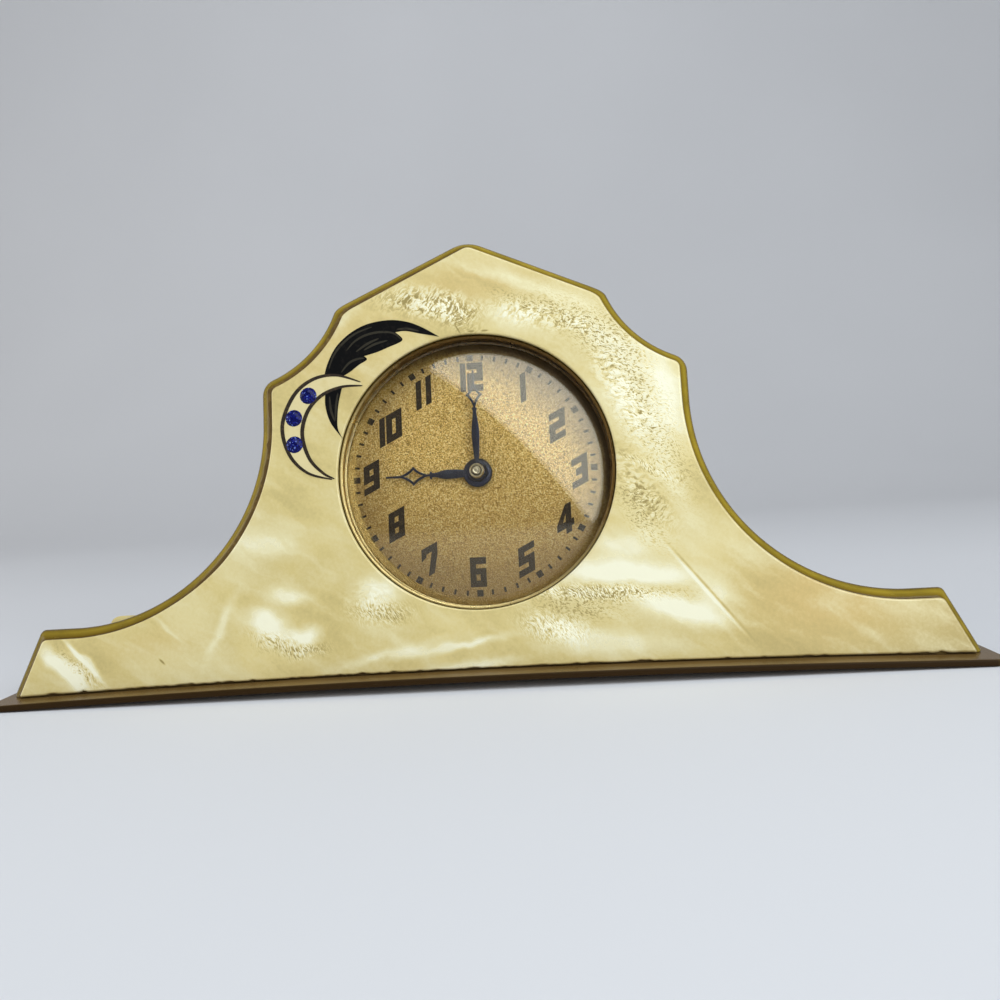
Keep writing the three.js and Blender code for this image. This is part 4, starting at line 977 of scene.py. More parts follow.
pearlSheet = {
    "grow": 0.45,
    "shift": 0.15,
    "edge": 0.38,
    "edgeSteps": 5,
    "openingEase": 0.35,
    "seatRadius": 1.68,
    "seatSteps": 32,
    "chips": 0.35,
    "trim": 0.42,  # cut off the left side
    "trimRun": (0.65, -0.75),
    "trimFoot": -22,  # it starts at this height and is whole after the rise
    "trimRise": 8,
    "trimSide": 6,
}
amberSheet = {"reveal": 0.75, "bevel": 2.4, "bevelBack": 2.7, "edge": 0.9, "footGap": 0.06, "shift": -0.1,
              "rebate": 3.2, "rebateRadius": 28.3}
cementBed = {"front": 0.82, "back": 1.08, "reach": 0.66, "chips": 0.7, "chipScale": 0.8, "rightShare": 0.2,
             "footBand": 1, "heart": 5, "clear": 0.05}
stonePlaces = [(-30.6, 15.6), (-33.4, 11.5), (-33.4, 6.5)]


def trimmed(x, y):  # the sheet was cut a little short up its left side
    s = pearlSheet
    up = min(max((y - s["trimFoot"]) / s["trimRise"], 0), 1)
    share = up * min(max(-x / s["trimSide"], 0), 1) * s["trim"]
    return (x + s["shift"] + share * s["trimRun"][0], y + share * s["trimRun"][1])


def pearlFacing():
    s = pearlSheet
    turns = [pi / 2 * i / s["edgeSteps"] for i in range(s["edgeSteps"] + 1)]
    rounded = [(s["edge"] * (sin(t) - 1), s["edge"] * (1 - cos(t))) for t in turns]
    foot, chips = outlineSize["footHeight"], s["chips"]
    sections = rounded + [(0, stack["pearlBack"])]
    outer = []
    for inset, depth in sections:
        outline = panelOutline(s["grow"] + inset, foot - inset, chips)
        outer.append(([trimmed(x, y) for x, y in outline], depth))
    ease = s["openingEase"]
    lip = [(opening + ease * (1 - sin(t)), ease * (1 - cos(t))) for t in turns]
    lip.append((opening, stack["pearlBack"]))
    holes = [[(circle(radius, fine), depth) for radius, depth in lip]]
    for place in stonePlaces:
        seat = circle(s["seatRadius"], s["seatSteps"], place)
        holes.append([(seat, 0), (seat, stack["pearlBack"])])
    return toMesh(plate(outer, holes), "pearl")


def amberPanel():
    s = amberSheet
    profile = softened([
        (s["reveal"] - s["edge"], stack["panelFront"]),
        (s["reveal"], stack["panelFront"]),
        (s["bevel"], s["bevelBack"]),
        (s["bevel"], stack["panelBack"]),
        (s["bevel"] - s["edge"], stack["panelBack"]),
    ], s["edge"])
    outer = []
    for grow, depth in profile:
        outline = panelOutline(grow, footAt(depth, s["footGap"]))
        outer.append(([(x + s["shift"], y) for x, y in outline], depth))
    bore = [(opening, stack["panelFront"]), (opening, s["rebate"]),
            (s["rebateRadius"], s["rebate"]), (s["rebateRadius"], stack["panelBack"])]
    hole = [(circle(radius, fine), depth) for radius, depth in bore]
    return toMesh(plate(outer, [hole]), "amber")


def cementLayer():
    s = cementBed
    foot = footAt(s["back"], amberSheet["footGap"])
    ragged = []
    for x, y in panelOutline(s["reach"], foot):
        share = s["rightShare"] if x > 0 and y > foot + s["footBand"] else 1
        chip = max(0, noise.noise(Vector((x, y, 0)) * s["chipScale"])) * s["chips"] * share
        away = Vector((x, y - s["heart"])).normalized() * chip
        ragged.append((x + away.x, max(y + away.y, foot)))
    return toMesh(slab(ragged, s["front"], s["back"], [circle(opening + s["clear"], fine)]), "cement")


addPiece("pearl_sheet", pearlFacing(), pearl, "case", ["pearl_facing"], arched=True)
addPiece("amber_panel", amberPanel(), amber, "case", ["front_panel"], arched=True)
addPiece("cement_line", cementLayer(), cement, "case", arched=True)
print("panel made")

# base plate and braces

basePlate = {"width": 179, "depth": 50, "thick": 1.1, "corner": 3, "steps": 10, "run": 60,
             "edge": 0.35, "edgeSteps": 5}
braceSize = {"height": 13.8, "thick": 4, "inner": 33, "leftEnd": 70.2, "rightEnd": 62, "gap": 0.05,
             "corner": 2.4, "cornerSteps": 10, "edge": 0.5, "edgeSteps": 4}


def basePlateMesh():
    s = basePlate

    def outline(inset):  # corner arcs joined by long sides with points enough to bend
        points = []
        for turn, (sx, sy) in enumerate(((1, 1), (-1, 1), (-1, -1), (1, -1))):
            centre = (sx * (s["width"] / 2 - s["corner"]), sy * (s["depth"] / 2 - s["corner"]))
            points += arc(centre, s["corner"] - inset, turn * pi / 2, (turn + 1) * pi / 2, s["steps"])
            if sx == sy:
                run = [centre[0] * (1 - 2 * i / s["run"]) for i in range(1, s["run"])]
                points += [(x, points[-1][1]) for x in run]
        return points

    low = -(baseThick - s["thick"])
    corners = [(2 * s["edge"], -baseThick), (0, -baseThick), (0, low), (s["edge"], low)]
    profile = softened(corners, s["edge"], s["edgeSteps"])
    return toMesh(plate([(outline(inset), depth) for inset, depth in profile]), "base")


def braceMesh(side, end):
    s = braceSize
    low, inner = -dialHeight, side * s["inner"]
    top = low + s["height"]
    corner = softCorner((side * end, low), (side * end, top), (inner, top), s["corner"], s["cornerSteps"])
    front = stack["panelBack"] + s["gap"]
    sections = []
    for depth in (front, front + s["thick"]):
        foot = footAt(depth, s["gap"])
        sections.append(([(inner, foot), (side * end, foot), *corner, (inner, top)], depth))
    return bevelled(toMesh(plate(sections), "brace"), s["edge"], s["edgeSteps"])


addPiece("base_sheet", basePlateMesh(), baseAmber, "case", ["base_plate"],
         deskMatrix, arched=True)
for side, end, label in ((-1, braceSize["leftEnd"], "left"), (1, braceSize["rightEnd"], "right")):
    block, cadName = f"brace_block_{label}", f"brace_{label}"
    addPiece(block, braceMesh(side, end), pearl, "case", [cadName], arched=True)
print("base and braces made")

# crescent and leaf painted at the upper left, and the three stones

ornament = {
    "lift": 0.05,  # paint stands proud of the pearl
    "fieldLift": 0.025,
    "lineLift": 0.07,
    "veinLift": 0.075,
    "sunk": 0.03,
    "line": 0.72,
    "lineTip": 0.12,
    "outer": [(-20.7, 17.6), (-25.4, 19.2), (-29.8, 18.6), (-33.4, 15.7), (-35.6, 10.2), (-34.4, 4.7),
              (-31.1, 1.1), (-26.5, -0.4)],
    "inner": [(-20.4, 16.9), (-24.3, 16.9), (-28.1, 15.5), (-30.8, 12.6), (-31.9, 8.4), (-30.7, 3.8),
              (-28.2, 0.9), (-26.1, -0.3)],
    "leaf": [
        [(-27.5, 19.1), (-26.8, 21.5), (-25.2, 24.5), (-22.5, 27.0), (-19.1, 28.6), (-15.1, 29.1),
         (-11.8, 28.6), (-9.0, 27.4), (-5.7, 25.3)],
        [(-5.7, 25.3), (-9.1, 26.1), (-11.9, 26.8), (-13.9, 26.7)],
        [(-13.9, 26.7), (-12.6, 25.1), (-15.3, 23.9), (-17.5, 23.1), (-19.9, 22.5)],
        [(-19.9, 22.5), (-19.4, 21.8), (-20.9, 20.9), (-22.7, 19.6), (-24.1, 18.9)],
    ],
    "tail": [
        [(-27.4, 16.0), (-27.4, 13.3), (-26.5, 10.2), (-24.2, 6.9)],
        [(-24.2, 6.9), (-25.2, 9.0), (-25.2, 11.6), (-24.9, 14.0), (-24.2, 16.8)],
    ],
    "veinWide": 0.44,
    "veinTip": 0.05,
    "veins": [
        [(-26.6, 20.4), (-25.6, 23.0), (-23.7, 25.3), (-21.2, 27.0), (-18.2, 28.0)],
        [(-23.2, 23.7), (-21.6, 25.4), (-19.4, 26.5), (-16.7, 26.9), (-14.2, 26.5), (-12.8, 25.2)],
        [(-21.4, 23.4), (-19.2, 24.8), (-17.0, 25.7)],
        [(-19.9, 23.6), (-17.9, 24.6), (-15.4, 25.2)],
        [(-13.6, 27.2), (-11.6, 27.2), (-9.4, 26.6)],
        [(-24.3, 19.6), (-22.8, 21.3), (-21.2, 22.0), (-19.8, 22.1)],
        [(-26.6, 15.2), (-26.4, 12.6), (-25.7, 10.4)],
        [(-25.0, 15.8), (-25.4, 13.4), (-25.6, 10.6)],
    ],
}
stoneCut = {"girdle": 1.58, "crown": 1.18, "table": 0.62, "girdleLift": 0.04, "crownLift": 0.34,
            "tableLift": 0.52, "skirt": 0.45, "facets": 10, "turn": 0.7}


def closedLine(runs):  # one outline from curves that meet at sharp points
    points = smoothLine(runs[0])
    for run in runs[1:]:
        points += smoothLine(run)[1:]
    return points[:-1] if points[0] == points[-1] else points


def ornamentPieces():
    s = ornament
    lift, sunk = s["lift"], s["sunk"]
    outer, inner = smoothLine(s["outer"]), smoothLine(s["inner"])
    field = toMesh(slab(outer + inner[::-1], -s["fieldLift"], sunk), "field")
    lineWidth, veinWidth = taper(s["lineTip"], s["line"]), taper(s["veinTip"], s["veinWide"])
    lines = [slab(strokeShape(line, lineWidth), -s["lineLift"], sunk) for line in (outer, inner)]
    leaf = [slab(closedLine(s[part]), -lift, sunk) for part in ("leaf", "tail")]
    strokes = [strokeShape(smoothLine(vein), veinWidth) for vein in s["veins"]]
    veins = [slab(stroke, -s["veinLift"], -s["fieldLift"]) for stroke in strokes]
    addPiece("crescent_field", field, cream, "case")
    addPiece("crescent_lines", toMesh(merged(*lines), "lines"), groove, "case")
    addPiece("leaf_paint", toMesh(merged(*leaf), "leaf"), leafPaint, "case")
    # engraved veins, their grey partly painted highlight
    addPiece("leaf_veins", toMesh(merged(*veins), "veins"), leafVeinGreyAndSheen, "case")


def stoneMesh():
    s = stoneCut
    shell = bmesh.new()
    count = s["facets"]

    def ring(radius, lift, points, start=0.0):
        return [shell.verts.new((x, y, lift)) for x, y in circle(radius, points, start=start)]

    skirt = ring(s["girdle"], -s["skirt"], 2 * count)
    girdle = ring(s["girdle"], s["girdleLift"], 2 * count)
    crown = ring(s["crown"], s["crownLift"], count, pi / count / 2)
    table = ring(s["table"], s["tableLift"], count, 3 * pi / count / 2)
    for i in range(2 * count):
        shell.faces.new((skirt[i - 1], skirt[i], girdle[i], girdle[i - 1]))
    for i in range(count):
        here, after = crown[i], crown[(i + 1) % count]
        shell.faces.new((girdle[2 * i], girdle[2 * i + 1], here))
        shell.faces.new((girdle[2 * i + 1], girdle[(2 * i + 2) % (2 * count)], after, here))
        shell.faces.new((here, after, table[i]))
        shell.faces.new((after, table[(i + 1) % count], table[i]))
    shell.faces.new(table)
    shell.faces.new(skirt[::-1])
    bmesh.ops.recalc_face_normals(shell, faces=shell.faces)
    return toMesh(shell, "stone")


ornamentPieces()
stones = copiesOf(stoneMesh(), [(x, y, 0) for x, y in stonePlaces], stoneCut["turn"], sapphire)
addPiece("blue_stones", stones, sapphire, "case", ["stone_1", "stone_2", "stone_3"])
print("ornament made")

# bezel, crystal and sight ring

bezelSize = {"outside": 25.38, "front": 0.9, "bead": 0.42, "groove": 0.3, "grooveRun": 0.1, "lip": 24.8,
             "lipFront": 2.5, "lipBack": 3.0, "seat": 24.95, "flange": 28, "flangeFront": 3.5, "soft": 0.14,
             "softSteps": 4, "crease": 50}
crystalSize = {"rim": 24.85, "dome": 24.5, "rimFront": 3.3, "rise": 4.3, "innerRise": 4.1, "steps": 20,
               "crease": 40}
sightSize = {"inner": 24.65, "outer": 25.1, "back": 5.0, "soft": 0.12, "softSteps": 3, "crease": 50}


def turnedRing(corners, s, name, steps=fine):  # a closed profile with eased corners, turned
    return toMesh(lathe(softened(corners, s["soft"], s["softSteps"], closed=True), steps), name, s["crease"])


def bezelMesh():
    s = bezelSize
    inside = s["outside"] - s["bead"]
    profile = [
        (s["outside"], s["front"]),
        (s["outside"], s["flangeFront"]),
        (s["flange"], s["flangeFront"]),
        (s["flange"], stack["panelBack"]),
        (s["seat"], stack["panelBack"]),
        (s["seat"], s["lipBack"]),
        (s["lip"], s["lipBack"]),
        (s["lip"], s["lipFront"]),
        (inside - s["grooveRun"], s["front"] + s["groove"]),
        (inside, s["front"] + s["groove"]),
        (inside, s["front"]),
    ]
    return turnedRing(profile, s, "bezel")


def crystalMesh():
    s = crystalSize

    def cap(edgeDepth, rise):
        radius = (s["dome"] ** 2 + rise ** 2) / (2 * rise)
        half = asin(s["dome"] / radius)
        turns = [half * i / s["steps"] for i in range(s["steps"] + 1)]
        return [(radius * sin(t), edgeDepth - rise + radius * (1 - cos(t))) for t in turns]

    outer = cap(s["rimFront"], s["rise"])
    inner = cap(stack["panelBack"], s["innerRise"])
    profile = outer + [(s["rim"], s["rimFront"]), (s["rim"], stack["panelBack"])] + inner[::-1]
    return toMesh(lathe(profile, fine), "glass", s["crease"])


def sightRingMesh():
    s = sightSize
    front = stack["flangeFront"]
    corners = [(s["inner"], front), (s["outer"], front), (s["outer"], s["back"]), (s["inner"], s["back"])]
    return turnedRing(corners, s, "sight")


addPiece("bezel_rim", bezelMesh(), bezelBrass, "case", ["bezel_ring"])
addPiece("crystal_dome", crystalMesh(), glass, "case", ["crystal"])
addPiece("sight_rim", sightRingMesh(), bezelBrass, "case", ["sight_ring"])
print("bezel and crystal made")

# dial, minute track and numerals

dialSize = {"hole": 2.2, "radius": 24.95, "soft": 0.1, "softSteps": 3, "crease": 50}
track = {"radius": 22.2, "centre": (-0.6, -0.1), "count": 60, "hourEvery": 5, "minute": (0.95, 0.42, 0.05),
         "hour": (1.2, 1.15, 0.05)}
numeral = {
    "width": 3.0,
    "height": 5.5,
    "bar": 0.35,  # share of the width that a one takes
    "slope": 0.5,
    "gap": 0.25,
    "pairGap": 0.85,
    "lift": 0.03,
    "upright": (6, 12),
    "places": [(9.2, 15.8), (15.2, 8.2), (18.9, -0.6), (15.6, -9.6), (8.2, -16.5), (-0.8, -18.4),
               (-9.7, -15.8), (-15.6, -8.8), (-20.0, 0.3), (-16.1, 9.6), (-9.6, 16.0), (-0.4, 18.4)],
}
glyphs = {  # each digit in a cell one wide and one high: its outline, then its holes
    "0": [[(0, 0), (1, 0), (1, 1), (0, 1)], [(0.39, 0.24), (0.61, 0.24), (0.61, 0.76), (0.39, 0.76)]],
    "1": [[(0, 0), (0.35, 0), (0.35, 1), (0, 1)]],
    "2": [[(0, 0), (1, 0), (1, 0.23), (0.38, 0.23), (0.38, 0.36), (1, 0.36), (1, 1), (0, 1), (0, 0.77),
           (0.62, 0.77), (0.62, 0.64), (0, 0.64)]],
    "3": [[(0, 0), (1, 0), (1, 1), (0, 1), (0, 0.77), (0.62, 0.77), (0.62, 0.62), (0.26, 0.62), (0.26, 0.38),
           (0.62, 0.38), (0.62, 0.23), (0, 0.23)]],
    "4": [[(0.56, 0), (0.92, 0), (0.92, 0.19), (1.08, 0.19), (1.08, 0.42), (0.92, 0.42), (0.92, 1), (0.55, 1),
           (0, 0.42), (0, 0.19), (0.56, 0.19)], [(0.38, 0.42), (0.56, 0.42), (0.56, 0.68)]],
    "5": [[(0, 0), (1, 0), (1, 0.63), (0.38, 0.63), (0.38, 0.77), (1, 0.77), (1, 1), (0, 1), (0, 0.38),
           (0.62, 0.38), (0.62, 0.23), (0, 0.23)]],
    "6": [[(0, 0), (1, 0), (1, 0.63), (0.38, 0.63), (0.38, 0.77), (1, 0.77), (1, 1), (0, 1)],
          [(0.38, 0.22), (0.62, 0.22), (0.62, 0.42), (0.38, 0.42)]],
    "7": [[(0.4, 0), (0.78, 0), (1, 0.6), (1, 1), (0, 1), (0, 0.58), (0.3, 0.66), (0.3, 0.76), (0.64, 0.76)]],
    "8": [[(0, 0), (1, 0), (1, 1), (0, 1)], [(0.38, 0.22), (0.62, 0.22), (0.62, 0.4), (0.38, 0.4)],
          [(0.38, 0.6), (0.62, 0.6), (0.62, 0.78), (0.38, 0.78)]],
    "9": [[(0, 0), (1, 0), (1, 1), (0, 1), (0, 0.37), (0.62, 0.37), (0.62, 0.23), (0, 0.23)],
          [(0.38, 0.58), (0.62, 0.58), (0.62, 0.78), (0.38, 0.78)]],
}


def dialMesh():
    s = dialSize
    corners = [(s["hole"], stack["dialFront"]), (s["radius"], stack["dialFront"]),
               (s["radius"], stack["dialBack"]), (s["hole"], stack["dialBack"])]
    return turnedRing(corners, s, "dial")


def trackTree():  # marks round a circle, every hour's one larger
    tree, given = nodeGroup("minuteTrack", [
        ("Count", "Int"), ("Radius", "Float"), ("Minute", "Vector"), ("Hour", "Vector"),
        ("Hour Every", "Float"), ("Material", "Material")])
    ring = node(tree, "GeometryNodeMeshCircle", {
        "Vertices": given["Count"], "Radius": given["Radius"]}).outputs[0]
    index = node(tree, "GeometryNodeInputIndex").outputs[0]
    isHour = combine(tree, "LESS_THAN", combine(tree, "MODULO", index, given["Hour Every"]), 0.5)
    size = node(tree, "ShaderNodeMix", data_type="VECTOR")
    for place, source in ((0, isHour), (4, given["Minute"]), (5, given["Hour"])):  # the vector mix's sockets
        tree.links.new(source, size.inputs[place])
    position = node(tree, "GeometryNodeInputPosition").outputs[0]
    facing = node(tree, "FunctionNodeAlignRotationToVector", {"Vector": position}, axis="X").outputs[0]
    mark = node(tree, "GeometryNodeMeshCube").outputs["Mesh"]
    marks = node(tree, "GeometryNodeInstanceOnPoints", {
        "Points": ring, "Instance": mark, "Rotation": facing, "Scale": size.outputs[1]}).outputs[0]
    endGroup(tree, marks, given["Material"])
    return tree


def minuteTrack():
    marks = grown(trackTree(), pointMesh([(0, 0, 0)]), {
        "Count": track["count"], "Radius": track["radius"], "Minute": track["minute"], "Hour": track["hour"],
        "Hour Every": float(track["hourEvery"]), "Material": ink})
    marks.transform(Matrix.Translation((*track["centre"], -stack["dialFront"])))
    return marks


def numeralShells(number):
    s = numeral
    text = str(number)
    slope = 0 if number in s["upright"] else s["slope"]
    widths = [s["width"] * (s["bar"] if digit == "1" else 1) for digit in text]
    gap = s["pairGap"] if text == "11" else s["gap"]
    left = -(sum(widths) + gap * (len(text) - 1)) / 2
    middle = s["places"][number - 1]
    front, back = stack["dialFront"] - s["lift"], stack["dialFront"] + s["lift"]
    shells = []
    for digit, width in zip(text, widths):
        loops = []
        for loop in glyphs[digit]:
            points = [(left + x * s["width"], (y - 0.5) * s["height"]) for x, y in loop]
            loops.append([(middle[0] + x, middle[1] + y + slope * x) for x, y in points])
        shells.append(slab(loops[0], front, back, loops[1:]))
        left += width + gap
    return shells


addPiece("dial_face", dialMesh(), gilt, "case", ["dial"])
addPiece("minute_track", minuteTrack(), ink, "case")
numbers = merged(*[shell for number in range(1, 13) for shell in numeralShells(number)])
addPiece("numerals", toMesh(numbers, "numerals"), ink, "case")
print("dial made")

# hands, nut and centre arbor

handForm = {
    "line": 0.42,
    "thick": 0.3,
    "edge": 0.07,
    "edgeSteps": 2,
    "bend": 0.32,
    "bendSteps": 8,
    "waistRun": 0.7,
    "collarRun": (0.1, 0.4, 0.5),  # past the neck: where the collar rises, ends and has fallen
    "tipShare": 0.8,
    "steps": 64,
    "soft": 0.2,  # of the boss
    "softSteps": 4,
    "crease": 50,
}
hourForm = {"tip": 17.2, "start": 2.3, "middle": 4.5, "root": 0.68, "bladeAt": 5.8, "blade": 0.86,
            "neck": 8.5, "waist": 0.42, "collar": 0.72, "diamondAt": 12.0, "diamondHalf": 1.85,
            "diamondLong": 2.5, "eye": (1.85, 1.2), "turn": 180,
            "boss": [(1.5, 3.92), (2.1, 3.92), (2.7, 4.35), (2.7, 4.9), (2.05, 4.9), (2.05, 4.05),
                     (1.5, 4.05)]}
minuteForm = {"tip": 19.2, "start": 1.5, "middle": 3.4, "root": 0.36, "bladeAt": 7.0, "blade": 0.72,
              "neck": 11.6, "waist": 0.36, "collar": 0.42, "diamondAt": 14.5, "diamondHalf": 1.55,
              "diamondLong": 2.2, "eye": (1.6, 0.95), "turn": 90,
              "boss": [(1.3, 3.0), (1.45, 3.0), (1.75, 3.35), (1.75, 3.8), (1.3, 3.8)]}
nutSize = {"hole": 0.95, "radius": 1.35, "front": 1.6, "back": 2.7, "soft": 0.06, "softSteps": 3,
           "crease": 50,
           "holeEdge": [(0, 0.12), (0.08, 0), (0.17, 0.14)],  # out from the hole and behind the front
           "rimEdge": [(-0.12, 0.02), (0, 0.3), (0, 1.1)]}
arborSize = {"tip": 1.1, "end": 31.2, "soft": 0.05, "softSteps": 3, "crease": 40,
             "point": [(0, 0), (0.3, 0), (0.38, 0.12), (0.6, 0.02), (0.8, 0.2)]}  # radius, behind the tip


def bladeShape(hand):
    s = handForm
    thin, collar = s["line"] / 2, hand["collar"]
    neck, middle = hand["neck"], hand["diamondAt"]
    low, high = middle - hand["diamondLong"], middle + hand["diamondLong"]
    peak, heart = (middle, hand["diamondHalf"]), Vector((middle, 0))

    def hollow(start, end):  # a side of the diamond, bowed in towards its heart
        control = ((Vector(start) + Vector(end)) / 2).lerp(heart, s["bend"])
        return bow(start, control, end, s["bendSteps"])

    side = smoothLine([
        (hand["start"], hand["root"]), (hand["bladeAt"], hand["blade"]),
        (neck - s["waistRun"], hand["waist"]), (neck, hand["waist"])])
    side += [(neck + run, width) for run, width in zip(s["collarRun"], (collar, collar, thin))]
    side += hollow((low, thin), peak) + hollow(peak, (high, thin))[1:]
    side.append((hand["tip"], thin * s["tipShare"]))
    eyeLong, eyeWide = hand["eye"]
    corners = [(middle + eyeLong, 0), (middle, eyeWide), (middle - eyeLong, 0), (middle, -eyeWide)]
    eye = []
    for start, end in zip(corners, corners[1:] + corners[:1]):
        eye += hollow(start, end)[:-1]
    return side + [(x, -y) for x, y in reversed(side)], eye


def handMesh(hand):
    s = handForm
    shape, eye = bladeShape(hand)
    middle, half = hand["middle"], s["thick"] / 2
    flat = toMesh(slab(shape, middle - half, middle + half, [eye]), "blade")
    blade = bevelled(flat, s["edge"], s["edgeSteps"])
    boss = turnedRing(hand["boss"], s, "boss", s["steps"])
    whole = merged(toShell(blade), toShell(boss))
    bmesh.ops.rotate(whole, verts=whole.verts, matrix=Matrix.Rotation(radians(hand["turn"]), 3, "Z"))
    return toMesh(whole, "hand")


def nutMesh():
    s = nutSize
    profile = [(s["hole"] + out, s["front"] + behind) for out, behind in s["holeEdge"]]
    profile += [(s["radius"] + out, s["front"] + behind) for out, behind in s["rimEdge"]]
    return turnedRing(profile + [(s["hole"], s["back"])], s, "nut", handForm["steps"])


def arborMesh():
    s = arborSize
    profile = [(radius, s["tip"] + behind) for radius, behind in s["point"]]
    profile += [(profile[-1][0], s["end"]), (0, s["end"])]
    profile = softened(profile, s["soft"], s["softSteps"])
    return toMesh(lathe(profile, handForm["steps"]), "arbor", s["crease"])


addPiece("hour_pointer", handMesh(hourForm), blued, "hour", ["hour_hand"])
addPiece("minute_pointer", handMesh(minuteForm), blued, "minute", ["minute_hand"])
addPiece("hand_nut_ring", nutMesh(), wornBrass, "minute", ["hand_nut"])
addPiece("centre_rod", arborMesh(), wornBrass, "minute", ["centre_arbor"])
print("hands made")

# movement can with its holes, and the six back screws

canSize = {"flange": 31.3, "mouth": 25.25, "mouthOutside": 25.95, "ledge": 10.1, "ledgeBack": 10.8,
           "inside": 23.55, "backRim": 2, "outside": 24.25, "soft": 0.5, "beadAt": 22.9, "beadWide": 0.25,
           "beadLift": 0.2, "crease": 35}
canHoles = {"knob": 1.1, "key": 1.6, "keyPlace": (-9.223, -7.739), "steps": 32, "balance": (-9.496, 11.25),
            "slotReach": 5.5, "slotHalf": 0.8, "slotBearing": 130, "slotSwing": 33, "slotSteps": 16,
            "slotEndSteps": 8}
backScrew = {"head": 1.7, "thick": 0.9, "crown": 0.6, "shank": 0.6, "bite": 2.6, "slotWide": 0.38,
             "slotDeep": 0.42, "soft": 0.18, "steps": 40, "crease": 35, "turn": 1.1, "canRing": 29.5,
             "canBearings": (30, 150, 270), "canFront": 5.5, "caseRing": 20.95,
             "caseBearings": (295, 68, 178), "caseFront": 26.5}


def onRing(radius, bearings):
    return [(radius * cos(radians(bearing)), radius * sin(radians(bearing))) for bearing in bearings]


def slotLoop():  # the regulator's slot, an arc with round ends
    h = canHoles
    reach, half, steps = h["slotReach"], h["slotHalf"], h["slotSteps"]
    start, end = radians(h["slotBearing"] - h["slotSwing"]), radians(h["slotBearing"] + h["slotSwing"])

    def roundEnd(turn, facing):
        middle = Vector(h["balance"]) + Vector((cos(turn), sin(turn))) * reach
        return arc(middle, half, facing, facing + pi, h["slotEndSteps"])[1:-1]

    outside = arc(h["balance"], reach + half, start, end, steps) + roundEnd(end, end)
    return outside + arc(h["balance"], reach - half, end, start, steps) + roundEnd(start, start + pi)


def canMesh():
    s, h = canSize, canHoles
    back, inside = stack["canBack"], stack["canInside"]
    path = softened([
        (s["inside"] - s["backRim"], inside),
        (s["inside"], inside),
        (s["inside"], s["ledge"]),
        (s["mouth"], s["ledge"]),
        (s["mouth"], stack["flangeFront"]),
        (s["flange"], stack["flangeFront"]),
        (s["flange"], stack["flangeBack"]),
        (s["mouthOutside"], stack["flangeBack"]),
        (s["mouthOutside"], s["ledgeBack"]),
        (s["outside"], s["ledgeBack"]),
        (s["outside"], back),
        (s["beadAt"] + 2 * s["beadWide"], back),
        (s["beadAt"] + s["beadWide"], back + s["beadLift"]),
        (s["beadAt"], back + s["beadLift"]),
        (s["beadAt"] - s["beadWide"], back),
        (s["beadAt"] - 2 * s["beadWide"], back),
    ], s["soft"])
    outer = [(circle(radius, fine), depth) for radius, depth in path]
    loops = [circle(h["knob"], h["steps"]), circle(h["key"], h["steps"], h["keyPlace"]), slotLoop()]
    return toMesh(plate(outer, [[(loop, inside), (loop, back)] for loop in loops]), "can", s["crease"])


def screwMesh():
    s = backScrew
    profile = softened([
        (0, -s["bite"]), (s["shank"], -s["bite"]), (s["shank"], 0), (s["head"], 0),
        (s["head"], s["thick"] * s["crown"]), (s["head"] * s["crown"], s["thick"]), (0, s["thick"]),
    ], s["soft"])
    head = toMesh(lathe(profile, s["steps"]), "screw")
    reach, half = 2 * s["head"], s["slotWide"] / 2
    bar = [(-reach, -half), (reach, -half), (reach, half), (-reach, half)]
    cutter = placed("cutter", toMesh(slab(bar, s["thick"] - s["slotDeep"], 2 * s["thick"]), "cutter"))

    def addSlot(holder):
        slot = holder.modifiers.new("slot", "BOOLEAN")
        slot.object = cutter
        slot.operation = "DIFFERENCE"

    cut = evaluated(head, addSlot)
    bpy.data.objects.remove(cutter)
    return shaded(cut, s["crease"])


def screwPlaces():
    s = backScrew
    places = [(x, y, s["canFront"]) for x, y in onRing(s["canRing"], s["canBearings"])]
    return places + [(x, y, s["caseFront"]) for x, y in onRing(s["caseRing"], s["caseBearings"])]


screwNodes = [f"{kind}_screw_{i}" for kind in ("can", "case") for i in (1, 2, 3)]
addPiece("movement_shell", canMesh(), nickel, "case", ["movement_can"])
screws = copiesOf(screwMesh(), screwPlaces(), backScrew["turn"], steel)
addPiece("back_screws", screws, steel, "case", screwNodes)
print("can made")

# set knob and winding key

knobSize = {"front": 26.8, "neckBack": 28.1, "back": 31.8, "neck": 2.1, "grip": 4.2, "soft": 0.45,
            "softSteps": 5, "ridges": 24, "ridgeDepth": 0.3, "ridgeSpan": (0.85, 0.97), "bore": 0.9,
            "boreBack": 31.4, "crease": 45}
keySize = {"front": 26.8, "hub": 2.2, "hubBack": 31.1, "wing": 3.3, "wingAt": 3.6, "wingTurn": (-120, 150),
           "wingSteps": 28, "wingDepth": 32.75, "waist": 1.0, "thick": 1.3, "edge": 0.4, "edgeSteps": 4,
           "bore": 1.4, "boreBack": 30.5, "soft": 0.4, "softSteps": 4, "hubSteps": 48, "crease": 40}


